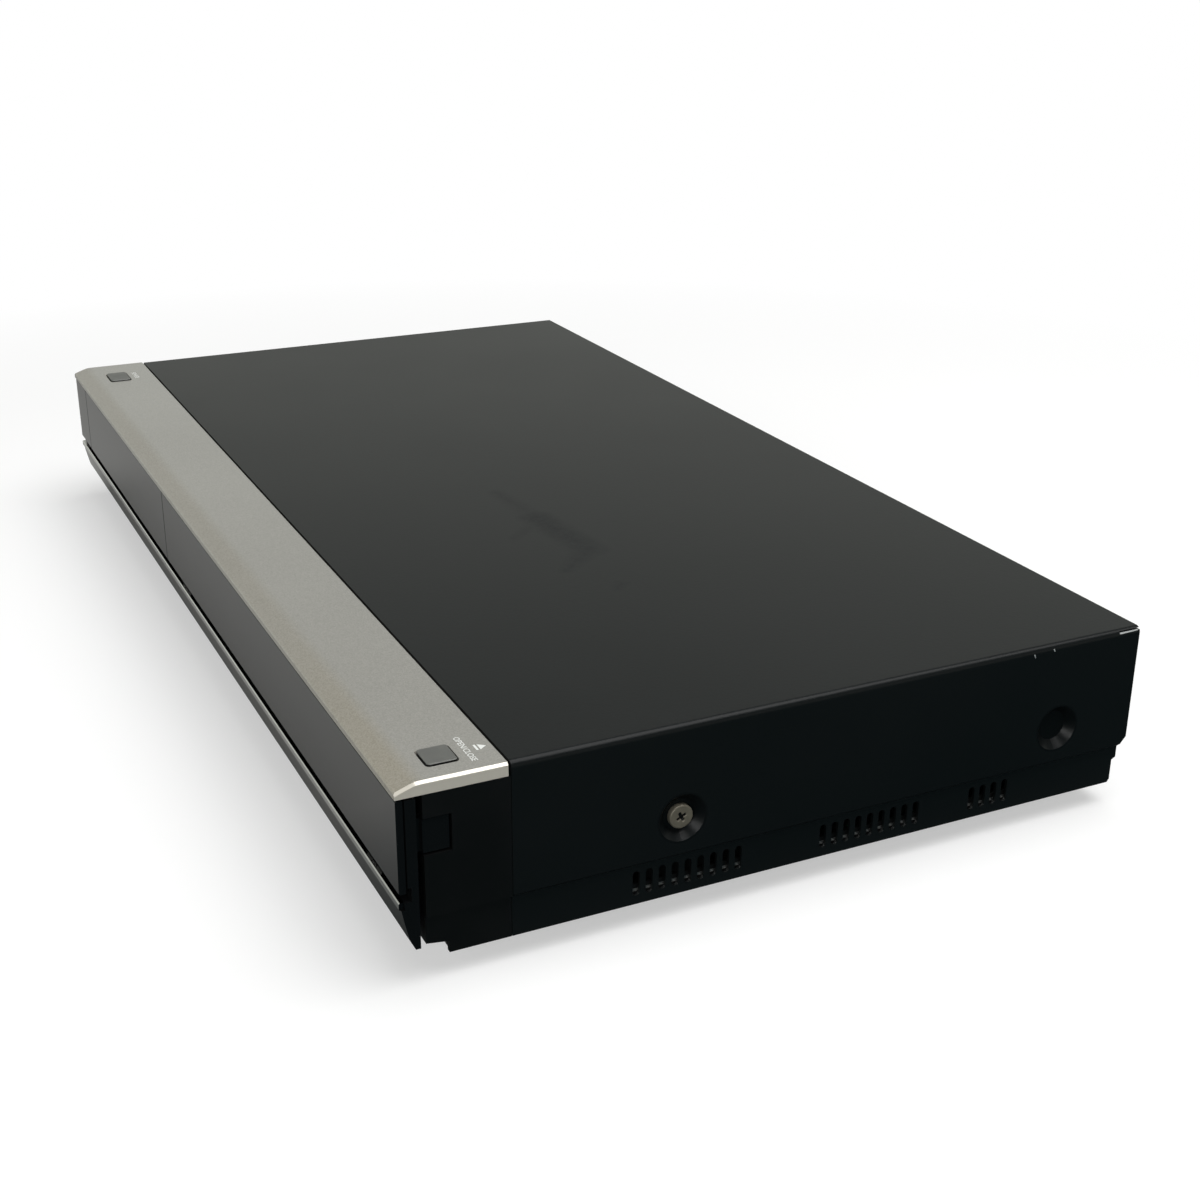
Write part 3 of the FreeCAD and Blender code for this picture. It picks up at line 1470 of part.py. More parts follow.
def make_lead_screw():
    """Shaft with a coarse screw groove shown as rings at its ends."""
    x = drive_x + screw_x
    shaft = rod(lead_radius, x, rail_front + 0.3, rail_z, Y_AXIS, rail_back + 1.6 - rail_front)
    rings = []
    for n in range(12):
        y = disc_y + 12.0 + n * 5.0
        ring = rod(lead_radius + 1, x, y, rail_z, Y_AXIS, 1.2)
        core = rod(lead_radius - 0.35, x, y - 1, rail_z, Y_AXIS, 4)
        rings.append(ring.cut(core))
    return shaft.cut(rings)


def make_sled_motor():
    """Small stepping motor at the rear end of the lead screw."""
    x = drive_x + screw_x
    y0 = rail_back + 1.0
    body = rod(4.6, x, y0, rail_z, Y_AXIS, deck_back - y0 - 1.0)
    foot = block(x - 3.2, x + 3.2, y0 + 1, deck_back - 2, deck_top, rail_z)
    bore = rod(lead_radius + rail_gap, x, y0 - 1, rail_z, Y_AXIS, 4)
    return body.fuse(foot).cut(bore)


def make_spindle_motor():
    """Fixed part of the spindle motor with its shaft."""
    base = rod(stator_radius, drive_x, disc_y, deck_top, Z_AXIS, stator_height)
    shaft = rod(1.5, drive_x, disc_y, deck_top + 2, Z_AXIS, turntable_top - deck_top - 2)
    return base.fuse(shaft)


def make_turntable():
    """Rotor can with the disc seat and the centring hub."""
    z0 = deck_top + stator_height + spindle_gap
    can = rod(stator_radius, drive_x, disc_y, z0, Z_AXIS, turntable_top - 1.5 - z0 + 0.1)
    seat = rod(turntable_radius, drive_x, disc_y, turntable_top - 1.5, Z_AXIS, 1.5)
    hub = cone(hub_radius, hub_radius - 1.2, drive_x, disc_y, turntable_top - 0.1, Z_AXIS, hub_height + 0.1)
    bore = rod(1.5 + rail_gap, drive_x, disc_y, z0 - 1, Z_AXIS, turntable_top - z0 + 1.3)
    return can.fuse([seat, hub]).cut(bore)


def make_pickup_sled():
    """Cast sled with two rail bearings, a cut-away for the spindle and a follower on the screw."""
    x = drive_x
    y0 = sled_front
    y1 = y0 + sled_length
    low = deck_top + 0.8
    body = block(x - rail_x - 3.2, x + rail_x + 2.4, y0, y1, low, sled_top)
    tower = block(x - 15, x + 15, y0 + 2, y1 - 2, sled_top - 1, sled_top + 3.0)
    away = rod(turntable_radius + 1.5, x, disc_y, low - 1, Z_AXIS, 15)
    bore = rod(rail_radius + rail_gap, x - rail_x, y0 - 1, rail_z, Y_AXIS, sled_length + 2)
    rise = rail_radius + 0.08
    fork = block(x + rail_x - 4, x + rail_x + 5, y0 - 1, y1 + 1, rail_z - rise, rail_z + rise)
    slim = block(x - rail_x - 6, x - rail_x + 5, y0 + 8, y1 - 8, low - 1, sled_top + 1)
    well = rod(7.0, x, disc_y + lens_ahead, 31.2, Z_AXIS, 4)
    arm_y = y0 + sled_length / 2
    tip_x = x + screw_x - lead_radius - 0.15
    arm = block(x + rail_x, tip_x, arm_y - 3, arm_y + 3, rail_z + rise, sled_top)
    tip = block(x + rail_x + 2.6, tip_x, arm_y - 3, arm_y + 3, rail_z - 1.4, sled_top)
    return body.fuse(tower).cut([away, bore, fork, slim, well]).fuse([arm, tip])


def make_pickup_lens():
    """Lens holder on its four wires, drawn as a disc with a domed lens."""
    y = disc_y + lens_ahead
    holder = rod(5.4, drive_x, y, 31.2, Z_AXIS, 2.6)
    lens = Part.makeSphere(4.0, V(drive_x, y, 31.0)).common(rod(2.6, drive_x, y, 33.0, Z_AXIS, 3))
    return holder.fuse(lens)


def make_fan_frame():
    """Square fan frame with a round duct, four struts and the motor's stub."""
    y0 = panel_face - fan_thick
    s = fan_size / 2
    body = block(fan_x - s, fan_x + s, y0, panel_face, fan_z - s, fan_z + s)
    body = round_edges(body, 3.0, lambda e: runs_along(e, Y_AXIS))
    body = body.cut(rod(s - 1.0, fan_x, y0 - 1, fan_z, Y_AXIS, fan_thick + 2))
    pieces = [rod(8.0, fan_x, y0, fan_z, Y_AXIS, 2.0), rod(1.5, fan_x, y0, fan_z, Y_AXIS, 11.0)]
    for turn in (45, 135, 225, 315):
        strut = block(fan_x, fan_x + s + 0.5, y0, y0 + 1.6, fan_z - 1, fan_z + 1)
        strut.rotate(V(fan_x, y0, fan_z), Y_AXIS, turn)
        pieces.append(strut)
    return body.fuse(pieces)


def make_fan_rotor():
    """Hub with seven slanted blades."""
    y0 = panel_face - fan_thick + 3.0
    length = 10.0
    s = fan_size / 2
    hub = rod(9.0, fan_x, y0, fan_z, Y_AXIS, length)
    blades = []
    for n in range(7):
        middle = y0 + length / 2
        blade = block(fan_x + 6, fan_x + s, middle - 0.5, middle + 0.5, fan_z - 5.5, fan_z + 5.5)
        blade.rotate(V(fan_x, middle, fan_z), X_AXIS, 38)
        blade.rotate(V(fan_x, y0, fan_z), Y_AXIS, n * 360 / 7)
        blades.append(blade)
    envelope = rod(s - 2.0, fan_x, y0, fan_z, Y_AXIS, length)
    bore = rod(1.5 + rail_gap, fan_x, y0 - 1, fan_z, Y_AXIS, 9.2)
    return hub.fuse(blades).common(envelope).cut(bore)


tuner_top = height - 7.5


def make_tuner_can():
    """Tin box of the tuner, behind the aerial sockets."""
    x0 = aerial_x[0] - 12.0
    x1 = aerial_x[1] + 12.0
    body = block(x0, x1, panel_face - 50.0, panel_face - 0.4, board_top, tuner_top)
    grooves = []
    for n in range(4):
        x = x0 + 6.0 + n * 12.0
        grooves.append(block(x, x + 1.5, panel_face - 44, panel_face - 8, tuner_top - 0.6, tuner_top + 1))
    return body.cut(grooves)


def make_aerial_sockets():
    """Four screw-on aerial sockets with their nuts."""
    reach = rear_y + rear_reach
    y0 = panel_face - 0.4
    sockets = []
    for x in aerial_x:
        for z in aerial_z:
            barrel = rod(aerial_radius, x, y0, z, Y_AXIS, reach - y0)
            corners = []
            for n in range(6):
                a = n * math.pi / 3
                corners.append((x + aerial_nut * math.cos(a), z + aerial_nut * math.sin(a)))
            nut = prism_y(corners, panel_back, panel_back + aerial_nut_thick)
            bore = rod(aerial_bore, x, reach - 7.0, z, Y_AXIS, 8)
            sockets.append(barrel.fuse(nut).cut(bore))
    return sockets


def make_jack_block():
    """Moulded body behind the six round jacks, with a collar for each."""
    x0 = jack_x[0] - 7.0
    x1 = jack_x[-1] + 7.0
    body = block(x0, x1, panel_face - 13.0, panel_face, board_top, jack_z[-1] + 7.5)
    collar = panel_back + port_proud - panel_face + 1
    collars = [rod(jack_face, x, panel_face - 1, z, Y_AXIS, collar) for x in jack_x for z in jack_z]
    seat = jack_stem + jack_stem_gap
    seats = [rod(seat, x, panel_face - jack_stem_depth, z, Y_AXIS, 12) for x in jack_x for z in jack_z]
    return body.fuse(collars).cut(seats)


def make_jack_barrels():
    """Plated barrels of the round jacks, each with a thinner stem that sits in the moulded body."""
    y0 = panel_face - jack_stem_depth
    y1 = panel_back + port_proud
    barrels = []
    for x in jack_x:
        for z in jack_z:
            stem = rod(jack_stem, x, y0, z, Y_AXIS, y1 - y0 + 1)
            sleeve = rod(jack_radius, x, y1, z, Y_AXIS, jack_reach)
            bore = rod(jack_bore, x, y0 + 3, z, Y_AXIS, y1 + jack_reach - y0)
            barrels.append(stem.fuse(sleeve).cut(bore))
    return barrels


lan_cavity_half = 5.9
lan_cavity_low = board_top + 3.2
lan_cavity_high = board_top + 10.6
lan_cavity_depth = 13.0


def make_lan_socket():
    """Network socket with its keyed cavity and eight contact ridges."""
    back = panel_back + port_proud
    x = lan_x
    w = lan_width / 2
    body = block(x - w, x + w, back - lan_depth, back, board_top, board_top + lan_height)
    s = lan_cavity_half
    inner = back - lan_cavity_depth
    cavity = block(x - s, x + s, inner, back + 1, lan_cavity_low, lan_cavity_high)
    key = block(x - 3.0, x + 3.0, inner + 3, back + 1, lan_cavity_low - 1.8, lan_cavity_low + 0.1)
    return body.cut([cavity, key])


def make_hdmi_socket():
    """Shell with slanted lower corners and a tongue."""
    back = panel_back + port_proud
    x = hdmi_x
    w = hdmi_width / 2
    z0 = board_top
    z1 = z0 + hdmi_height
    def section(t, slant, knee):
        low = z0 + t
        right = [(x + w - slant, low), (x + w - t, z0 + knee), (x + w - t, z1 - t)]
        left = [(2 * x - across, z) for across, z in reversed(right)]
        return right + left

    shape = section(0.0, 1.6, 2.0)
    hollow = section(port_wall, 1.8, 2.2)
    body = prism_y(shape, back - 12.0, back).cut(prism_y(hollow, back - 10.0, back + 1))
    tongue = block(x - w + 2.2, x + w - 2.2, back - 10.5, back - 1.0, z0 + 2.6, z0 + 3.6)
    return body.fuse(tongue)


def make_optical_socket():
    """Square optical output with its shutter set back."""
    back = panel_back + port_proud
    s = optical_size / 2
    body = block(optical_x - s, optical_x + s, back - 12.0, back, board_top, board_top + optical_size)
    s -= 1.4
    low = board_top + 1.4
    high = board_top + optical_size - 1.4
    recess = block(optical_x - s, optical_x + s, back - 1.2, back + 1, low, high)
    return body.cut(recess)


def make_usb_sockets():
    """The front and the rear socket for memory devices."""
    back = panel_back + port_proud
    rear = usb_shell(usb_x, usb_width, usb_height, back - 13.0, back, board_top + usb_height / 2, 1)
    y0 = front(plate_back - 0.3)
    ahead = usb_shell(front_usb_x, front_usb_width, front_usb_height, y0, front_board_y, front_usb_z, -1)
    return ahead, rear


inlet_cavity_width = 15.2
inlet_cavity_height = 8.8
inlet_cavity_depth = 12.0
inlet_pin_half = 4.3
inlet_pin_radius = 1.18


def make_mains_inlet():
    """Two-pin mains inlet: a figure-eight well in a moulded body."""
    back = panel_back + port_proud
    x = inlet_x
    z = board_top + inlet_height / 2
    w = inlet_width / 2
    body = block(x - w, x + w, back - inlet_depth, back, board_top, board_top + inlet_height)
    r = inlet_cavity_height / 2
    reach = inlet_cavity_width / 2 - r
    y0 = back - inlet_cavity_depth
    well = block(x - reach, x + reach, y0, back + 1, z - r, z + r)
    rounds = [rod(r, x + side * reach, y0, z, Y_AXIS, inlet_cavity_depth + 1) for side in (-1, 1)]
    length = inlet_cavity_depth - 1.0
    pins = [rod(inlet_pin_radius, x + side * inlet_pin_half, y0 - 1, z, Y_AXIS, length) for side in (-1, 1)]
    return body.cut([well] + rounds).fuse(pins)


cable_thick = 0.3


def ribbon(points, x0, x1):
    """A flat cable: a thin strip that follows (y, z) points."""
    upper = [(y, z + cable_thick) for y, z in reversed(points)]
    return prism_x(points + upper, x0, x1)


def make_ribbon_cables():
    """Flat cables from the drive and from the front board to the main board."""
    y0 = drive_back
    z0 = drive_bottom + 7.0
    route = [(y0, z0), (y0 + 5.0, z0), (main_step + 1.0, board_top), (main_step + 8.0, board_top)]
    drive_cable = ribbon(route, drive_x + 17.0, drive_x + 39.0)
    y0 = front_board_y + 1.6
    z0 = board_top + 9.4
    route = [(y0, z0), (y0 + 5.0, z0), (main_front + 0.5, board_top), (main_front + 3.5, board_top)]
    front_cable = ribbon(route, main_tongue_left + 60.0, main_tongue_left + 84.0)
    return [drive_cable, front_cable]


save("loading_gear", make_loading_gear())
save("pulley_gear", make_pulley_gear())
save("motor_pulley", make_motor_pulley())
save("loading_belt", make_loading_belt())
save("loading_motor", make_loading_motor())
save("disc_tray", make_disc_tray())
save("tray_bezel", make_tray_bezel())
save("loader_frame", make_loader_frame())
save("drive_top_plate", make_drive_top_plate())
save("disc_clamp", make_disc_clamp())
save("traverse_deck", make_traverse_deck())
save("guide_rails", *make_guide_rails())
save("lead_screw", make_lead_screw())
save("sled_motor", make_sled_motor())
save("spindle_motor", make_spindle_motor())
save("turntable", make_turntable())
save("pickup_sled", make_pickup_sled())
save("pickup_lens", make_pickup_lens())
save("fan_frame", make_fan_frame())
save("fan_rotor", make_fan_rotor())
save("tuner_can", make_tuner_can())
save("aerial_sockets", *make_aerial_sockets())
save("jack_block", make_jack_block())
save("jack_barrels", *make_jack_barrels())
save("lan_socket", make_lan_socket())
save("hdmi_socket", make_hdmi_socket())
save("optical_socket", make_optical_socket())
save("usb_sockets", *make_usb_sockets())
save("mains_inlet", make_mains_inlet())
save("ribbon_cables", *make_ribbon_cables())
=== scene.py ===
# %% [markdown]
# Optical disc recorder, dressed for the camera.
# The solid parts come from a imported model, and this script gives them their finishes, adds the small
# things that sit on them, and sets up the light and the camera. Each step says what the real thing is
# before it says how it is made here.

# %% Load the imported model
import bpy
import json
import numpy as np
from mathutils import Matrix, Vector


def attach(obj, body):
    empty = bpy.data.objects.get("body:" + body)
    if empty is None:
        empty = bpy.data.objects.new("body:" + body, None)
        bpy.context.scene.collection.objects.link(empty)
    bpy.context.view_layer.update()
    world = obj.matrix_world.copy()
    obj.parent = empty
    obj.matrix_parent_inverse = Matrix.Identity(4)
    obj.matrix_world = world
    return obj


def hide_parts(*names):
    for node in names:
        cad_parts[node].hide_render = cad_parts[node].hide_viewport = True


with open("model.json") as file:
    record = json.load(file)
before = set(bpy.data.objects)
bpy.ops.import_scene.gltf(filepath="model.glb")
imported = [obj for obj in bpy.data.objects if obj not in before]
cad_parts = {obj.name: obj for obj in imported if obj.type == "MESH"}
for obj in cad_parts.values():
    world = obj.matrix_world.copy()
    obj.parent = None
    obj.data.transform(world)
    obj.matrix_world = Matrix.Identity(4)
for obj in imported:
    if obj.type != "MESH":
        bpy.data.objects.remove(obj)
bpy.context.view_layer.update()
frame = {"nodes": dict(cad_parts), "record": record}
NODES = frame["nodes"]
print("nodes loaded:", len(NODES))

# %% [markdown]
# Everything is in metres, but a recorder is thought of in millimetres, so one value turns one into the
# other. Colours are written as the hex codes that a paint chart gives and turned into linear light here,
# because the shader works in linear light.

# %% Units and colours
MM = 0.001


def linear(code, alpha=1.0):
    """An sRGB hex code as linear red, green, blue and alpha: each channel by the standard sRGB curve."""
    channels = [int(code[n : n + 2], 16) / 255 for n in (1, 3, 5)]
    curve = [c / 12.92 if c <= 0.04045 else ((c + 0.055) / 1.055) ** 2.4 for c in channels]
    return (*curve, alpha)


# %% [markdown]
# A material is a small graph of nodes. One helper adds a node, sets its options and joins its inputs, and
# the others stand for the few kinds of node that come up again and again, so that a finish reads as a
# short list of steps.

# %% Node helpers
DRIFT_LOW = 0.3
DRIFT_HIGH = 0.7
MIX_FACTOR = 0
MIX_FIRST = 6
MIX_SECOND = 7
MIX_RESULT = 2


def add(tree, kind, inputs=None, **options):
    """One node: options are its own settings, inputs maps a socket to a value or to another socket."""
    made = tree.nodes.new(kind)
    for key, value in options.items():
        setattr(made, key, value)
    for key, value in (inputs or {}).items():
        socket = made.inputs[key]
        if isinstance(value, bpy.types.NodeSocket):
            tree.links.new(value, socket)
        else:
            socket.default_value = value
    return made


def maths(tree, operation, *values):
    """The result of one sum, product or the like of numbers or sockets."""
    return add(tree, "ShaderNodeMath", dict(enumerate(values)), operation=operation).outputs[0]


def axes(tree, vector):
    """The three parts of a vector."""
    return add(tree, "ShaderNodeSeparateXYZ", {0: vector}).outputs


def new_material(name):
    """An empty material with its output node, and the tree to fill."""
    material = bpy.data.materials.new(name)
    material.use_nodes = True
    tree = material.node_tree
    tree.nodes.clear()
    output = tree.nodes.new("ShaderNodeOutputMaterial")
    return material, tree, output


def finish_with(tree, output, inputs):
    """The general shader with these inputs, joined to the material's output."""
    shader = add(tree, "ShaderNodeBsdfPrincipled", inputs)
    tree.links.new(shader.outputs["BSDF"], output.inputs["Surface"])


def object_point(tree):
    """The point on the object in metres, which never slides because every object sits at the origin."""
    return add(tree, "ShaderNodeTexCoord").outputs["Object"]


def noise(tree, point, size_mm, detail=2.0, rough=0.5):
    """Cloud noise whose blobs are about size_mm across."""
    made = add(
        tree,
        "ShaderNodeTexNoise",
        {"Vector": point, "Scale": 1.0 / (size_mm * MM), "Detail": detail, "Roughness": rough},
    )
    return made.outputs["Fac"]


def cells(tree, point, size_mm):
    """Cells about size_mm across."""
    return add(tree, "ShaderNodeTexVoronoi", {"Vector": point, "Scale": 1 / (size_mm * MM)})


def cell_tone(tree, point, size_mm, channel):
    """A random tone for each cell, from one channel of its random colour."""
    colour = cells(tree, point, size_mm).outputs["Color"]
    return add(tree, "ShaderNodeSeparateColor", {"Color": colour}).outputs[channel]


def stretched(tree, point, share):
    """The point with its x shrunk to a share, which stretches a pattern along x."""
    return add(tree, "ShaderNodeMapping", {"Vector": point, "Scale": (share, 1, 1)}).outputs["Vector"]


def ramp(tree, value, low, high, to_low=0.0, to_high=1.0):
    """A value carried from one range to another and held at the ends."""
    made = add(
        tree,
        "ShaderNodeMapRange",
        {"Value": value, "From Min": low, "From Max": high, "To Min": to_low, "To Max": to_high},
        clamp=True,
    )
    return made.outputs["Result"]


def drifted(tree, drift, to_low=0.0, to_high=1.0):
    """Cloud noise, which keeps near its middle, spread over the whole of a range."""
    return ramp(tree, drift, DRIFT_LOW, DRIFT_HIGH, to_low, to_high)


def blend_colour(tree, factor, first, second):
    """A mix of two colours by a factor; each may be a hex code or a socket."""
    made = tree.nodes.new("ShaderNodeMix")
    made.data_type = "RGBA"
    for index, value in ((MIX_FACTOR, factor), (MIX_FIRST, first), (MIX_SECOND, second)):
        if isinstance(value, bpy.types.NodeSocket):
            tree.links.new(value, made.inputs[index])
        elif isinstance(value, str):
            made.inputs[index].default_value = linear(value)
        else:
            made.inputs[index].default_value = value
    return made.outputs[MIX_RESULT]


def bump(tree, height, depth_mm):
    """A normal tilted by a height map whose full step is depth_mm."""
    return add(tree, "ShaderNodeBump", {"Height": height, "Distance": depth_mm * MM}).outputs["Normal"]


# %% [markdown]
# Most of the set is moulded plastic, sheet metal or circuit board. They share one recipe: a base colour
# that drifts a little, a roughness that drifts with it, and a grain in the surface. The grain is drawn a
# few times coarser than the real one, because a true 0.05 mm grain is lost between two pixels.

# %% Shared recipe for plain finishes
def plain_finish(
    name,
    colour,
    shade,
    roughness,
    metallic=0.0,
    ior=1.5,
    grain_mm=0.4,
    grain_depth=0.01,
    drift_mm=30.0,
    coat=0.0,
):
    """A finish with two close colours, a range of roughness and a fine grain."""
    material, tree, output = new_material(name)
    point = object_point(tree)
    drift = noise(tree, point, drift_mm, 3.0)
    grain = noise(tree, point, grain_mm, 1.0)
    inputs = {
        "Base Color": blend_colour(tree, drifted(tree, drift), colour, shade),
        "Roughness": drifted(tree, drift, *roughness),
        "Normal": bump(tree, grain, grain_depth),
        "Metallic": metallic,
        "Coat Weight": coat,
    }
    if not metallic:
        inputs["IOR"] = ior
    finish_with(tree, output, inputs)
    return material


# %% [markdown]
# A scratch or a rub is a stroke: a line between two points with a width at each end. The distance from the
# surface to that line gives a soft mask, and noise breaks its edge as real wear does.

# %% Strokes
def apart(tree, first, second):
    """The way from the second point to the first."""
    return add(tree, "ShaderNodeVectorMath", {0: first, 1: second}, operation="SUBTRACT").outputs[0]


def stroke(tree, point, start_mm, end_mm, width_mm, weight=1.0, ragged=None):
    """The weight on the line from start to end, 0 at half its width from it; ragged noise eats into it."""
    start = Vector(start_mm) * MM
    along = Vector(end_mm) * MM - start
    away = apart(tree, point, tuple(start))
    scaled = tuple(along / along.length_squared)
    share = add(tree, "ShaderNodeVectorMath", {0: away, 1: scaled}, operation="DOT_PRODUCT").outputs["Value"]
    held = ramp(tree, share, 0.0, 1.0)
    nearest = add(tree, "ShaderNodeVectorMath", {0: tuple(along), "Scale": held}, operation="SCALE")
    gap = apart(tree, away, nearest.outputs[0])
    off = add(tree, "ShaderNodeVectorMath", {0: gap}, operation="LENGTH").outputs["Value"]
    width = ramp(tree, share, 0.0, 1.0, width_mm[0] * MM / 2, width_mm[1] * MM / 2)
    ratio = maths(tree, "DIVIDE", off, width)
    mask = ramp(tree, ratio, 1.0, 0.0, 0.0, weight)
    if ragged is None:
        return mask
    return maths(tree, "MULTIPLY", mask, ragged)


def most(tree, masks):
    """The largest of several masks at each point."""
    total = masks[0]
    for mask in masks[1:]:
        total = maths(tree, "MAXIMUM", total, mask)
    return total


# %% [markdown]
# The cover is folded sheet steel under a satin black powder paint. Powder paint has a very fine orange
# peel. Years of other boxes on top have rubbed a dull streak near the middle, with a tail that turns to the
# front. The streak is rougher than the paint, so it looks darker in the light from the far side. Two small
# nicks under the top bend at the right rear show bare steel, and so does the cut edge at the bend's rear
# end. Where the sheet is bent or drawn into a dimple, the paint mirrors less than on the flat.

# %% Cover paint
RUBS = [
    ((22.0, -14.0, 58.5), (53.0, -11.0, 58.5), (8.0, 12.0), 0.3),
    ((52.0, -11.5, 58.5), (88.0, -8.0, 58.5), (15.0, 16.0), 1.0),
    ((88.0, -8.0, 58.5), (102.5, -23.0, 58.5), (14.0, 7.0), 0.8),
    ((60.0, -16.5, 58.5), (68.0, -26.0, 58.5), (7.0, 6.0), 0.35),
    ((119.5, -12.0, 58.5), (123.0, -15.0, 58.5), (8.0, 6.0), 0.7),
]
NICKS = [
    ((215.0, 73.6, 56.6), (215.0, 74.0, 55.7), (0.9, 0.5)),
    ((215.0, 80.6, 57.0), (215.0, 80.9, 56.5), (0.9, 0.6)),
    ((214.6, 105.2, 57.5), (214.6, 111.6, 57.7), (1.3, 1.3)),
]
DIMPLES = [
    ((214.0, y, 30.8), (214.0, y + 0.1, 30.8), (18.0, 18.0)) for y in (-40.45, 84.95)
]
BARE_EDGE = (0.45, 0.55)
DISH_EDGE = (0.12, 0.22)
BEND_X = (213.1, 213.7)
BEND_Z = (56.8, 57.3)
PAINT_ROUGHNESS = (0.31, 0.34)
RUB_ROUGHNESS = 0.24
MIRROR_FLAT = 0.5
MIRROR_BENT = 0.16
BARE_METALLIC = 0.5


def cover_paint():
    """Satin powder paint with orange peel, slow drift, dull rubs, bare steel spots and dimmer bends."""
    material, tree, output = new_material("satin_black_powder_paint_on_steel")
    point = object_point(tree)
    drift = noise(tree, point, 90.0, 3.0)
    peel = noise(tree, point, 1.0, 2.0)
    x, y, z = axes(tree, point)
    outward = maths(tree, "ABSOLUTE", x)
    either_side = add(tree, "ShaderNodeCombineXYZ", {0: outward, 1: y, 2: z}).outputs[0]
    scuff = ramp(tree, noise(tree, point, 3.0, 5.0, 0.7), 0.25, 0.60, 0.3, 1.0)
    rubbed = most(tree, [stroke(tree, point, *line, ragged=scuff) for line in RUBS])
    bare = ramp(tree, most(tree, [stroke(tree, point, *line) for line in NICKS]), *BARE_EDGE)
    dish = ramp(tree, most(tree, [stroke(tree, either_side, *line) for line in DIMPLES]), *DISH_EDGE)
    out = ramp(tree, outward, BEND_X[0] * MM, BEND_X[1] * MM)
    up = ramp(tree, z, BEND_Z[0] * MM, BEND_Z[1] * MM)
    shaped = maths(tree, "MAXIMUM", dish, maths(tree, "MULTIPLY", out, up))
    base = blend_colour(tree, drifted(tree, drift), "#0c1011", "#101314")
    satin = drifted(tree, drift, *PAINT_ROUGHNESS)
    finish_with(
        tree,
        output,
        {
            "Base Color": blend_colour(tree, bare, base, "#d8dcdc"),
            "Metallic": ramp(tree, bare, 0.0, 1.0, 0.0, BARE_METALLIC),
            "Roughness": maths(tree, "MULTIPLY_ADD", rubbed, RUB_ROUGHNESS, satin),
            "Specular IOR Level": ramp(tree, shaped, 0.0, 1.0, MIRROR_FLAT, MIRROR_BENT),
            "IOR": 1.5,
            "Normal": bump(tree, peel, 0.018),
        },
    )
    return material


# %% [markdown]
# The top trim is injection-moulded ABS under a warm silver paint with a clear coat. The paint holds
# aluminium flakes, which is why it looks like metal but stays soft: a base that is a little metallic, a
# low roughness, and a thin smooth coat on top. Flakes are a few hundredths of a millimetre across and
# are drawn ten times coarser. A brownish painted reflection lies on the slope along the front edge, more so
# toward the right end. The two ends are paler, as painted light for their bright reflection of the room,
# and the bevel between the top and each end is polished.

# %% Silver paint
FLAKE_MM = 0.3
SLOPE_Y = (-112.0, -116.0)
SLOPE_REFLECTION_X = (110.0, 205.0)
SLOPE_REFLECTION_WEIGHT = (0.30, 0.62)
END_LEAN = (0.40, 0.55)
END_LIGHT_WEIGHT = 0.85
BEVEL_LEAN = (0.35, 0.50)
FLAKE_ROUGHNESS = (0.23, 0.27)
POLISH = -0.14
FLAKE_WEIGHT = 0.2


def silver_paint():
    """Warm silver paint with flakes of slightly different tone under a clear coat."""
    material, tree, output = new_material("warm_silver_paint_under_clear_coat")
    point = object_point(tree)
    tone = cell_tone(tree, point, FLAKE_MM, 0)
    drift = noise(tree, point, 120.0, 2.0)
    base = blend_colour(tree, drifted(tree, drift), "#a1a09a", "#9a9993")
    lean = axes(tree, add(tree, "ShaderNodeNewGeometry").outputs["Normal"])
    sideways = maths(tree, "ABSOLUTE", lean[0])
    bevel = maths(tree, "MULTIPLY", ramp(tree, sideways, *END_LEAN), ramp(tree, lean[2], *BEVEL_LEAN))
    satin = ramp(tree, tone, 0.0, 1.0, *FLAKE_ROUGHNESS)
    x, y, _ = axes(tree, point)
    # Painted reflection: a brownish band in the base colour on the slope, stronger toward the right end.
    slope = ramp(tree, y, SLOPE_Y[0] * MM, SLOPE_Y[1] * MM)
    reflection_share = ramp(tree, x, SLOPE_REFLECTION_X[0] * MM, SLOPE_REFLECTION_X[1] * MM, *SLOPE_REFLECTION_WEIGHT)
    with_slope_reflection = blend_colour(tree, maths(tree, "MULTIPLY", slope, reflection_share), base, "#968e7a")
    # Painted light: faces that turn to either end are made paler in the base colour.
    with_lit_ends = blend_colour(tree, ramp(tree, sideways, *END_LEAN, 0.0, END_LIGHT_WEIGHT), with_slope_reflection, "#f0e9dc")
    finish_with(
        tree,
        output,
        {
            "Base Color": blend_colour(tree, ramp(tree, tone, 0.0, 1.0, 0.0, FLAKE_WEIGHT), with_lit_ends, "#dddbd3"),
            "Metallic": 0.2,
            "Roughness": maths(tree, "MULTIPLY_ADD", bevel, POLISH, satin),
            "Coat Weight": 0.25,
            "Coat Roughness": 0.08,
            "Normal": bump(tree, tone, 0.002),
        },
    )
    return material


# %% [markdown]
# The front is a slab of dark tinted acrylic-like plastic with a mirror gloss. Its colour is nearly black,
# so what one sees is reflection: clear near the camera, stronger at a grazing view. A few fine hairline
# marks from wiping keep it from looking like new glass.

# %% Gloss front
def gloss_front():
    """Dark glossy plastic with a trace of wiping marks in its roughness."""
    material, tree, output = new_material("dark_gloss_acrylic")
    point = object_point(tree)
    wipe = noise(tree, stretched(tree, point, 0.08), 1.6, 3.0)
    smudge = noise(tree, point, 26.0, 3.0)
    both = maths(tree, "MULTIPLY", wipe, smudge)
    finish_with(
        tree,
        output,
        {
            "Base Color": blend_colour(tree, smudge, "#0e0f10", "#121314"),
            "Roughness": ramp(tree, both, 0.15, 0.45, 0.04, 0.10),
            "IOR": 1.49,
            "Normal": bump(tree, smudge, 0.01),
        },
    )
    return material


# %% [markdown]
# The pan, the rear panel and the drive's lid are zinc-plated sheet steel. Plating leaves a faint spangle
# of grey crystals a few millimetres across, and rolling leaves fine lines along the sheet. The pan's side
# flanges, which show through the vents, are coloured near black as painted shade, apart from a thin band
# near the bottom that keeps the plain zinc finish.

# %% Zinc-plated steel
SHADE_BEYOND_X = 210.5
BARE_BAND_Z = (10.3, 11.2)
SOFT_MM = 0.1


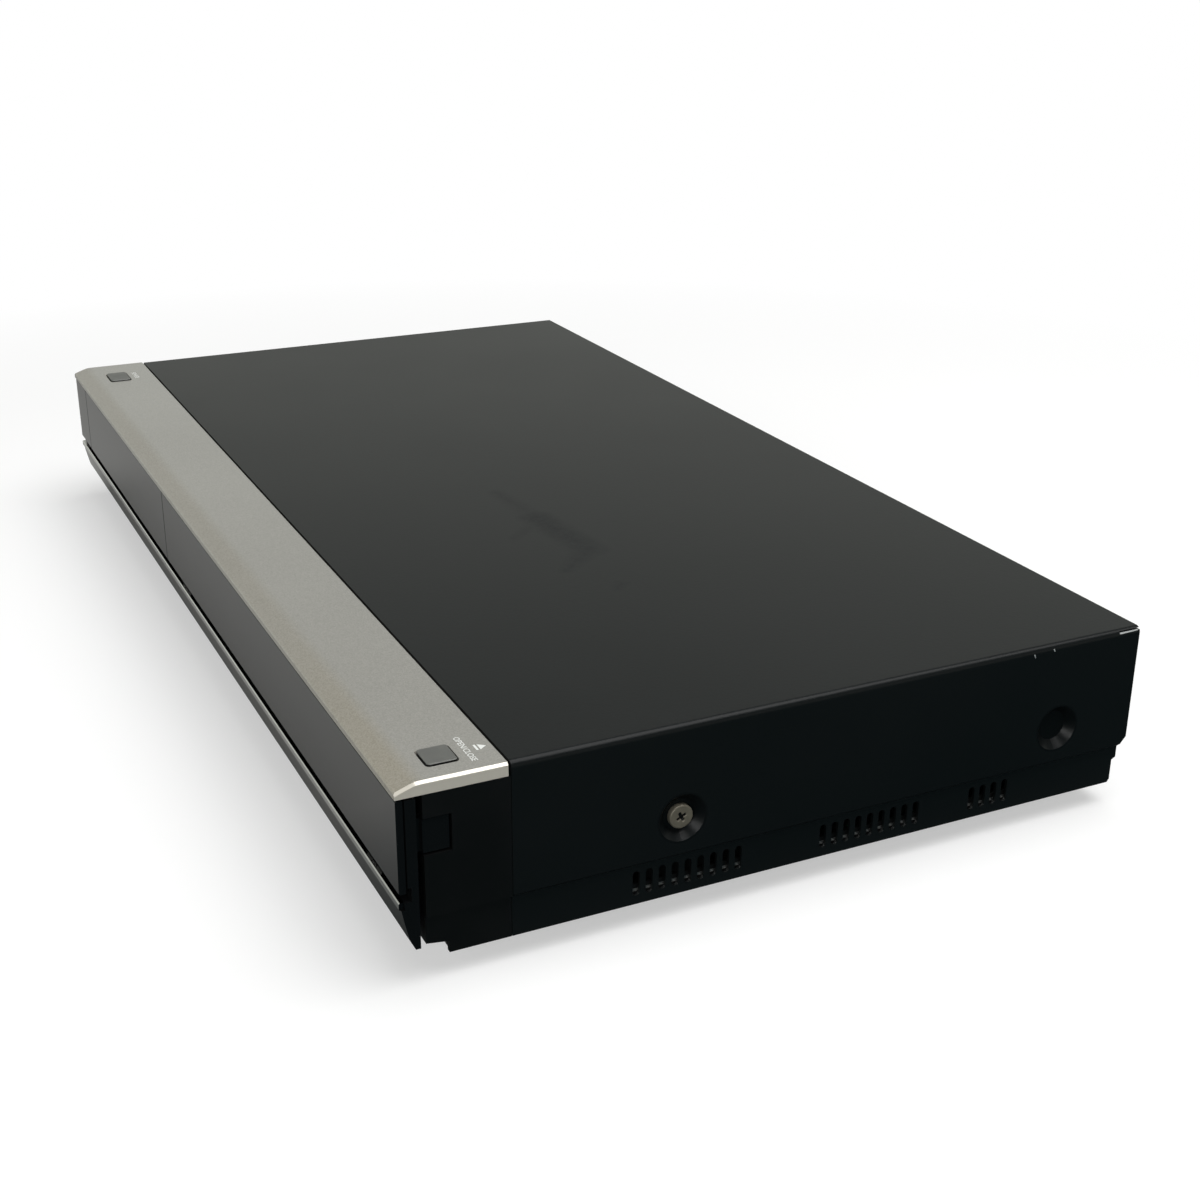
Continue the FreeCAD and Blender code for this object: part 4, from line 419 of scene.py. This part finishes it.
def spangled_steel(name, with_shaded_flanges=False):
    """Sheet steel with a soft spangle and rolling lines, and side flanges in painted shade with a bare band.
    """
    material, tree, output = new_material(name)
    point = object_point(tree)
    tone = cell_tone(tree, point, 4.0, 1)
    lines = noise(tree, stretched(tree, point, 0.02), 0.5, 2.0)
    colour = blend_colour(tree, tone, "#a7a9a8", "#b6b7b5")
    metallic = 1.0
    if with_shaded_flanges:
        # Painted shade: the side flanges seen through the vents turn near black, except the band near the
        # bottom.
        x, _, z = axes(tree, point)
        low, high = BARE_BAND_Z
        outward = maths(tree, "ABSOLUTE", x)
        flange = ramp(tree, outward, (SHADE_BEYOND_X - SOFT_MM) * MM, SHADE_BEYOND_X * MM)
        above = ramp(tree, z, low * MM, (low + SOFT_MM) * MM)
        below = ramp(tree, z, high * MM, (high - SOFT_MM) * MM)
        outside_bare_band = ramp(tree, maths(tree, "MULTIPLY", above, below), 0.0, 1.0, 1.0, 0.0)
        flange_shade = maths(tree, "MULTIPLY", flange, outside_bare_band)
        colour = blend_colour(tree, flange_shade, colour, "#090a0a")
        metallic = ramp(tree, flange_shade, 0.0, 1.0, 1.0, 0.0)
    finish_with(
        tree,
        output,
        {
            "Base Color": colour,
            "Metallic": metallic,
            "Roughness": ramp(tree, tone, 0.0, 1.0, 0.30, 0.42),
            "Normal": bump(tree, lines, 0.004),
        },
    )
    return material


# %% [markdown]
# A circuit board is woven glass and resin under a green lacquer. Copper tracks under the lacquer show as
# paler green runs, with bright solder dots. The point is snapped to a grid as wide as the tracks, and
# slow noise on the snapped point picks the squares that are copper. Small cells give the dots.

# %% Circuit board lacquer
TRACK_MM = 1.2
DOT_CELL_MM = 3.2


def board_lacquer():
    """Green lacquer over copper tracks, with solder dots."""
    material, tree, output = new_material("solder_mask_on_glass_epoxy")
    point = object_point(tree)
    grid = (TRACK_MM * MM,) * 3
    snapped = add(tree, "ShaderNodeVectorMath", {0: point, 1: grid}, operation="SNAP").outputs[0]
    copper = ramp(tree, noise(tree, snapped, 14.0, 1.0), 0.50, 0.52)
    dot = ramp(tree, cells(tree, point, DOT_CELL_MM).outputs["Distance"], 0.22, 0.18)
    green = blend_colour(tree, copper, "#0d4a2a", "#1a6a3c")
    finish_with(
        tree,
        output,
        {
            "Base Color": blend_colour(tree, dot, green, "#b8bab2"),
            "Metallic": dot,
            "Roughness": ramp(tree, copper, 0.0, 1.0, 0.36, 0.30),
            "Normal": bump(tree, copper, 0.03),
        },
    )
    return material


# %% [markdown]
# A button is grey on its top and near black on its sides, partly for its black moulding and partly as
# painted shade in the gap around it. The bright strip is plated along its length and dark at its ends.
# The lean of the surface along one axis tells the two apart.

# %% Finishes with a dark side
def two_faced(name, face, side, roughness, metallic, axis, dark):
    """A finish that turns dark as the lean along an axis goes from dark[0] to dark[1]."""
    material, tree, output = new_material(name)
    point = object_point(tree)
    normal = add(tree, "ShaderNodeNewGeometry").outputs["Normal"]
    # On a button the dark sides are partly painted shade of the gap around it.
    bare = ramp(tree, maths(tree, "ABSOLUTE", axes(tree, normal)[axis]), *dark)
    drift = noise(tree, point, 6.0, 2.0)
    tone = blend_colour(tree, drifted(tree, drift), *face)
    finish_with(
        tree,
        output,
        {
            "Base Color": blend_colour(tree, bare, tone, side),
            "Metallic": ramp(tree, bare, 0.0, 1.0, metallic, 0.0),
            "Roughness": drifted(tree, drift, *roughness),
            "Normal": bump(tree, noise(tree, point, 0.4, 1.0), 0.006),
        },
    )
    return material


# %% [markdown]
# The six round jacks sit in one black moulding, and the collar that each shows behind the panel has the
# usual colour of its plug: red, white or yellow, by column.

# %% Coloured collars of the round jacks
COLLAR_FROM_Y = 110.1
COLLAR_SPLITS = (-123.0, -109.0)
COLLAR_COLOURS = ("#a3241f", "#d9d8d2", "#cfa91d")


def jack_collars():
    """Moulded plastic whose collars are red, white and yellow along x, and black behind them."""
    material, tree, output = new_material("moulded_abs_with_coloured_collars")
    point = object_point(tree)
    x, y, _ = axes(tree, point)
    colour = COLLAR_COLOURS[0]
    for split, following in zip(COLLAR_SPLITS, COLLAR_COLOURS[1:]):
        past = ramp(tree, x, (split - SOFT_MM) * MM, (split + SOFT_MM) * MM)
        colour = blend_colour(tree, past, colour, following)
    shown = ramp(tree, y, COLLAR_FROM_Y * MM, (COLLAR_FROM_Y + SOFT_MM) * MM)
    drift = noise(tree, point, 8.0, 2.0)
    finish_with(
        tree,
        output,
        {
            "Base Color": blend_colour(tree, shown, "#0b0c0e", colour),
            "Roughness": drifted(tree, drift, 0.30, 0.40),
            "Normal": bump(tree, noise(tree, point, 0.5, 1.0), 0.01),
        },
    )
    return material


# %% [markdown]
# Each finish is named for what the real piece is made of: ABS for the mouldings, acetal for the gears,
# nickel plating for the sockets and so on. Most are variations of the shared recipe. The keys are the
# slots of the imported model, and two nodes have a finish of their own in place of their slot's.

# %% Table of finishes
FINISHES = {
    "pan_steel": spangled_steel("zinc_plated_pan_with_shaded_flanges", with_shaded_flanges=True),
    "jack_collars": jack_collars(),
    "cover_paint": cover_paint(),
    "silver_trim": silver_paint(),
    "gloss_black": gloss_front(),
    "zinc_steel": spangled_steel("zinc_plated_sheet_steel"),
    "board": board_lacquer(),
    "screw_metal": plain_finish(
        "pale_plated_screw", "#837e70", "#757064", (0.38, 0.48), metallic=0.35, grain_mm=0.6, drift_mm=4.0
    ),
    "black_plastic": plain_finish(
        "moulded_black_abs", "#050606", "#08090a", (0.36, 0.46), grain_mm=0.5, grain_depth=0.02
    ),
    "bright_strip": two_faced(
        "bright_plated_plastic",
        ("#e9e9e6", "#dededb"),
        "#0b0b0c",
        (0.07, 0.12),
        1.0,
        axis=0,
        dark=(0.5, 0.7),
    ),
    "button_grey": two_faced(
        "satin_grey_on_black_abs",
        ("#666763", "#5f605d"),
        "#0a0b0b",
        (0.34, 0.40),
        0.0,
        axis=2,
        dark=(0.6, 0.4),
    ),
    "rubber": plain_finish(
        "moulded_rubber", "#1a1a1a", "#222222", (0.70, 0.85), ior=1.52, grain_mm=0.6, grain_depth=0.03
    ),
    "steel": plain_finish(
        "ground_steel", "#b9bab9", "#a6a7a7", (0.18, 0.28), metallic=1.0, grain_depth=0.003
    ),
    "chip": plain_finish("moulded_epoxy_chip", "#1c1d1e", "#232425", (0.45, 0.60), grain_mm=0.3),
    "aluminium": plain_finish(
        "bare_cast_aluminium", "#c3c4c5", "#b2b3b5", (0.32, 0.44), metallic=1.0, grain_mm=0.8
    ),
    "ferrite": plain_finish("ferrite_and_yellow_tape", "#3a3833", "#b59a3a", (0.45, 0.60), drift_mm=12.0),
    "can_sleeve": plain_finish("printed_capacitor_sleeve", "#17171c", "#20222c", (0.25, 0.35), drift_mm=10.0),
    "white_plastic": plain_finish(
        "white_acetal", "#e4e2da", "#d8d6cd", (0.35, 0.45), ior=1.48, grain_depth=0.004
    ),
    "tray_plastic": plain_finish(
        "moulded_dark_grey_abs", "#1d1e21", "#232427", (0.38, 0.48), grain_mm=0.5, grain_depth=0.012
    ),
    "nickel": plain_finish(
        "nickel_plating",
        "#c9c5bb",
        "#b9b5ab",
        (0.14, 0.24),
        metallic=1.0,
        grain_mm=0.8,
        grain_depth=0.002,
        drift_mm=6.0,
    ),
    "optics": plain_finish(
        "coated_pickup_lens", "#20283e", "#2c3650", (0.05, 0.10), grain_depth=0.0, coat=1.0
    ),
    "cable": plain_finish("white_flat_cable", "#d9d7cf", "#cfccc3", (0.40, 0.50), grain_depth=0.003),
    "lens_clear": plain_finish("smoked_clear_pane", "#101414", "#141818", (0.05, 0.08), grain_depth=0.0),
    "tube_glass": plain_finish("display_glass", "#0f1b1a", "#142221", (0.04, 0.08), grain_depth=0.0),
}
OWN_FINISH = {"base_chassis": "pan_steel", "jack_block": "jack_collars"}

for part in frame["record"]["subparts"]:
    mesh = NODES[part["node"]].data
    mesh.materials.clear()
    slot = OWN_FINISH.get(part["node"], part["material_slot"])
    mesh.materials.append(FINISHES[slot])
print("finishes:", len(FINISHES))

# %% [markdown]
# The five case screws are pan heads, low and flat with a rounded rim, and a small cross recess for the
# driver. The profile from the tip of the shank to the middle of the head is swept round the axis as a
# polar grid. On the face the height also depends on the angle, which presses the cross into it. The
# pressed faces take the black plastic finish as painted shade in the recess.

# %% Case screws
HEAD_RADIUS = 3.5
HEAD_HEIGHT = 1.85
HEAD_FOOT = 0.15
FOOT_SLOPE = 0.1
RIM_HEIGHT = 0.3
SHANK_RADIUS = 1.5
SHANK_LENGTH = 6.0
FACE_RADIUS = 3.1
FACE_ROWS = 26
SCREW_COLUMNS = 96
CROSS_ARM = 1.45
CROSS_HALF_WIDTH = 0.40
CROSS_WALL = 0.14
CROSS_DEPTH = 1.0
RECESS_SHADE_FROM = 0.3
SIDE_SCREW_AT = (212.6, -40.45, 30.8)
SIDE_SCREW_TURN = 0.5
REAR_SCREW_Y = 112.45
REAR_SCREW_Z = 53.3
REAR_SCREWS = ((-190, 0.2), (0, 0.9), (190, 1.3))


def linked(name, data):
    """A named object that shows a mesh or holds a curve, a lens or a lamp, linked into the scene."""
    made = bpy.data.objects.new(name, data)
    bpy.context.collection.objects.link(made)
    return made


def cross_arm(along, across):
    """1 inside one arm of the cross and 0 outside it, with a slope as wide as the recess wall."""
    end = np.clip((CROSS_ARM - along) / CROSS_WALL + 0.5, 0, 1)
    flank = np.clip((CROSS_HALF_WIDTH - across) / CROSS_WALL + 0.5, 0, 1)
    return end * flank


def screw_rows(turn):
    """Radius, angle and height of each point of the head and shank, and how far it is in the cross."""
    rim = np.radians([0, 30, 60, 90])
    radii = [0.0, SHANK_RADIUS, SHANK_RADIUS, HEAD_RADIUS - FOOT_SLOPE, HEAD_RADIUS]
    heights = [-SHANK_LENGTH, -SHANK_LENGTH, 0.0, 0.0, HEAD_FOOT]
    radii += list(FACE_RADIUS + (HEAD_RADIUS - FACE_RADIUS) * np.cos(rim))
    heights += list(HEAD_HEIGHT - RIM_HEIGHT + RIM_HEIGHT * np.sin(rim))
    face = np.linspace(FACE_RADIUS, 0.0, FACE_ROWS)[1:]
    radii = np.concatenate([radii, face])
    heights = np.concatenate([heights, np.full(len(face), HEAD_HEIGHT)])
    angle = np.linspace(0, 2 * np.pi, SCREW_COLUMNS, endpoint=False)
    r, a = np.meshgrid(radii, angle, indexing="ij")
    h = np.repeat(heights[:, None], SCREW_COLUMNS, axis=1)
    u = np.abs(r * np.cos(a - turn))
    v = np.abs(r * np.sin(a - turn))
    on_face = (h >= HEAD_HEIGHT - 1e-6) & (r < FACE_RADIUS)
    pressed = np.where(on_face, np.maximum(cross_arm(u, v), cross_arm(v, u)), 0.0)
    return r, a, h - CROSS_DEPTH * pressed, pressed


def screw_points(at, out, rows):
    """The grid of rows in space for a screw whose head stands at a point and looks out along a direction."""
    r, a, h = rows
    out = np.array(out, dtype=float)
    up = np.array([0, 0, 1])
    side = np.cross(up, out)
    grid = np.array(at) + r[..., None] * (np.cos(a)[..., None] * side + np.sin(a)[..., None] * up)
    return grid + h[..., None] * out


def case_screws():
    """Five screws as one mesh: two in the side dimples and three through the rear flange."""
    sx, sy, sz = SIDE_SCREW_AT
    places = [((side * sx, sy, sz), (side, 0, 0), SIDE_SCREW_TURN) for side in (1, -1)]
    places += [((x, REAR_SCREW_Y, REAR_SCREW_Z), (0, 1, 0), turn) for x, turn in REAR_SCREWS]
    points, faces, dark = [], [], []
    for at, out, turn in places:
        *rows, pressed = screw_rows(turn)
        first = len(points)
        points += [tuple(p) for p in screw_points(at, out, rows).reshape(-1, 3) * MM]
        for i in range(len(pressed) - 1):
            for j in range(SCREW_COLUMNS):
                k = (j + 1) % SCREW_COLUMNS
                this_row = first + i * SCREW_COLUMNS
                next_row = this_row + SCREW_COLUMNS
                faces.append([this_row + j, this_row + k, next_row + k, next_row + j])
                # Painted shade: faces deep in the cross are marked for the black finish.
                dark.append(pressed[i : i + 2, [j, k]].mean() > RECESS_SHADE_FROM)
    mesh = bpy.data.meshes.new("case_screw_heads")
    mesh.from_pydata(points, [], faces)
    mesh.materials.append(FINISHES["screw_metal"])
    mesh.materials.append(FINISHES["black_plastic"])
    for polygon, index in zip(mesh.polygons, dark):
        polygon.material_index = int(index)
        polygon.use_smooth = True
    made = linked("case_screw_heads", mesh)
    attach(made, "root")
    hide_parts("case_screws")


case_screws()

# %% [markdown]
# Beside each button a small white print says what it does: a plain eject sign with OPEN/CLOSE at the right
# one, and POWER at the left one. A print is a flat film of ink 0.02 mm thick on the trim, so each is cut as
# a thin sheet with a top and sides, and rides on the root body like the trim under it.

# %% Printed signs
TRIM_Z = 58.5
INK_THICK = 0.02
SIZE_PER_CAPITAL = 1.4
LETTER_STEPS = 3
EJECT_AT = (203.8, -94.0)
EJECT_HALF = 1.5
TRIANGLE_Y = (0.2, 2.2)
BAR_Y = (-0.9, -0.3)
OPEN_CLOSE_AT = (203.4, -97.4)
OPEN_CLOSE_HIGH = 1.7
POWER_AT = (-193.2, -97.8)
POWER_HIGH = 2.0
ink = plain_finish("white_screen_ink", "#e9ebe8", "#dfe1de", (0.45, 0.60), grain_depth=0.001)


def film(name, outlines):
    """Flat outlines in millimetres on the trim, each raised by the thickness of the ink, as one piece."""
    points = []
    faces = []
    for outline in outlines:
        count = len(outline)
        first = len(points)
        for lift in (0.0, INK_THICK):
            points += [(x * MM, y * MM, (TRIM_Z + lift) * MM) for x, y in outline]
        faces.append(tuple(range(first + count, first + 2 * count)))
        for n in range(count):
            m = (n + 1) % count
            faces.append((first + n, first + m, first + count + m, first + count + n))
    mesh = bpy.data.meshes.new(name)
    mesh.from_pydata(points, [], faces)
    return linked(name, mesh)


def eject_outlines():
    """The triangle and the bar of the eject sign."""
    x, y = EJECT_AT
    low, high = TRIANGLE_Y
    foot, head = BAR_Y
    left, right = x - EJECT_HALF, x + EJECT_HALF
    triangle = [(left, y + low), (right, y + low), (x, y + high)]
    bar = [(left, y + foot), (right, y + foot), (right, y + head), (left, y + head)]
    return [triangle, bar]


def lettering(name, words, centre_mm, height_mm):
    """Plain capitals that read from the front, centred on a point of the trim, as a mesh."""
    curve = bpy.data.curves.new(name, "FONT")
    curve.body = words
    curve.size = height_mm * MM * SIZE_PER_CAPITAL
    curve.extrude = INK_THICK * MM / 2
    curve.resolution_u = LETTER_STEPS
    curve.align_x = "CENTER"
    curve.align_y = "CENTER"
    shape = linked(name + "_curve", curve)
    bpy.context.view_layer.update()
    mesh = bpy.data.meshes.new_from_object(shape)
    bpy.data.objects.remove(shape)
    mesh.transform(Matrix.Translation(Vector((*centre_mm, TRIM_Z + INK_THICK / 2)) * MM))
    return linked(name, mesh)


def finish_print(made):
    """Ink on the piece, which rides with the trim."""
    made.data.materials.clear()
    made.data.materials.append(ink)
    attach(made, "root")


finish_print(film("eject_sign", eject_outlines()))
finish_print(lettering("open_close_words", "OPEN/CLOSE", OPEN_CLOSE_AT, OPEN_CLOSE_HIGH))
finish_print(lettering("power_word", "POWER", POWER_AT, POWER_HIGH))

# %% [markdown]
# The camera stands off the right end of the set, a little in front of it and above it, as in the
# photograph. Its place and lens were worked out from straight edges of the set, so they are written as
# real distances: where the camera stands, which way it looks, and the lens.

# %% Camera
CAMERA_AT = (569.26, -236.27, 260.64)
CAMERA_AZIMUTH = 64.234
CAMERA_ELEVATION = 22.463
CAMERA_ROLL = 0.327
LENS_MM = 51.912
SENSOR_MM = 36.0
NEAR_CLIP_MM = 10.0


def camera_axes(azimuth, elevation, roll):
    """Right, up and back as unit vectors: back points from the object to the camera, then a roll about it."""
    a, e, r = np.radians([azimuth, elevation, roll])
    back = np.array([np.sin(a) * np.cos(e), -np.cos(a) * np.cos(e), np.sin(e)])
    right = np.cross(-back, [0, 0, 1])
    right /= np.linalg.norm(right)
    up = np.cross(right, -back)
    return right * np.cos(r) + up * np.sin(r), -right * np.sin(r) + up * np.cos(r), back


lens = bpy.data.cameras.new("camera")
lens.lens = LENS_MM
lens.sensor_width = SENSOR_MM
lens.clip_start = NEAR_CLIP_MM * MM
camera = linked("camera", lens)
turn = Matrix(camera_axes(CAMERA_AZIMUTH, CAMERA_ELEVATION, CAMERA_ROLL)).transposed().to_4x4()
camera.matrix_world = Matrix.Translation(Vector(CAMERA_AT) * MM) @ turn
bpy.context.scene.camera = camera

# %% [markdown]
# The light is plain: a wide soft lamp overhead, weak ones from the front and from the right, and a room
# that is dim overhead, bright near the horizon and a little brighter behind the set. The camera sees the
# floor and the room as white, as in a cut-out picture. The object itself sees a grey floor, pale under it
# and dark beyond its right side, which is why that side stays nearly black while the front mirrors a pale
# band.

# %% Floor, world and lamps
scene = bpy.context.scene
scene.view_settings.view_transform = "Standard"

FLOOR_HALF = 4.0
FLOOR_Z = -0.0002
WHITE_FROM = 0.40
WHITE_TO = 0.62
PALE_X = 0.12
DARK_X = 0.23
SHADOW_LIFT = 0.45
BEHIND_Y = (0.35, 0.9)
BEHIND_STRENGTH = 0.08
SKY_Z = (0.42, 0.20)
SKY_STRENGTH = (0.10, 0.57)
LAMPS = [
    ("overhead", (350, 350, 1600), (0, 0, 0), 1600, 30),
    ("front_fill", (100, -1500, 700), (0, 0, 30), 900, 4),
    ("right_fill", (1500, -1100, 700), (215, -60, 30), 700, 9),
]


def floor_finish():
    """Floor that the camera sees as white with the object's shadow, and the object sees as grey."""
    material, tree, output = new_material("paper_floor")
    point = object_point(tree)
    seen = blend_colour(tree, ramp(tree, axes(tree, point)[0], PALE_X, DARK_X), "#aaaaa8", "#1c2e32")
    direct = add(tree, "ShaderNodeLightPath").outputs["Is Camera Ray"]
    tint = blend_colour(tree, direct, seen, "#ffffff")
    paper = add(tree, "ShaderNodeBsdfDiffuse", {"Color": tint})
    white = add(tree, "ShaderNodeEmission", {"Color": linear("#ffffff"), "Strength": 1.0})
    far = add(tree, "ShaderNodeVectorMath", {0: point}, operation="LENGTH").outputs["Value"]
    fade = ramp(tree, far, WHITE_FROM, WHITE_TO, SHADOW_LIFT, 1.0)
    only_camera = maths(tree, "MULTIPLY", fade, direct)
    both = add(tree, "ShaderNodeMixShader", {0: only_camera, 1: paper.outputs[0], 2: white.outputs[0]})
    tree.links.new(both.outputs[0], output.inputs["Surface"])
    return material


def flat_sheet(name, half_size, z):
    """A square sheet as one face, from its four corners."""
    mesh = bpy.data.meshes.new(name)
    s = half_size
    mesh.from_pydata([(-s, -s, z), (s, -s, z), (s, s, z), (-s, s, z)], [], [(0, 1, 2, 3)])
    return linked(name, mesh)


def pale_room():
    """A room that the camera sees as white, and whose light on the object depends on the direction."""
    world = bpy.data.worlds.new("pale_room")
    world.use_nodes = True
    room = world.node_tree
    room.nodes.clear()
    _, y, z = axes(room, add(room, "ShaderNodeTexCoord").outputs["Generated"])
    behind = ramp(room, y, *BEHIND_Y, 0.0, BEHIND_STRENGTH)
    strength = maths(room, "ADD", behind, ramp(room, z, *SKY_Z, *SKY_STRENGTH))
    sky = add(room, "ShaderNodeBackground", {"Color": linear("#fcfff7"), "Strength": strength})
    white = add(room, "ShaderNodeBackground", {"Color": linear("#ffffff"), "Strength": 1.0})
    direct = add(room, "ShaderNodeLightPath").outputs["Is Camera Ray"]
    chosen = add(room, "ShaderNodeMixShader", {0: direct, 1: sky.outputs[0], 2: white.outputs[0]})
    room.links.new(chosen.outputs[0], room.nodes.new("ShaderNodeOutputWorld").inputs["Surface"])
    return world


def soft_lamp(name, place_mm, aim_mm, size_mm, watts):
    """A square area lamp that faces a point."""
    light = bpy.data.lights.new(name, "AREA")
    light.size = size_mm * MM
    light.energy = watts
    place = Vector(place_mm) * MM
    facing = (Vector(aim_mm) * MM - place).to_track_quat("-Z", "Y")
    linked(name, light).matrix_world = Matrix.Translation(place) @ facing.to_matrix().to_4x4()


floor = flat_sheet("paper_floor", FLOOR_HALF, FLOOR_Z)
floor.data.materials.append(floor_finish())
scene.world = pale_room()
for lamp in LAMPS:
    soft_lamp(*lamp)
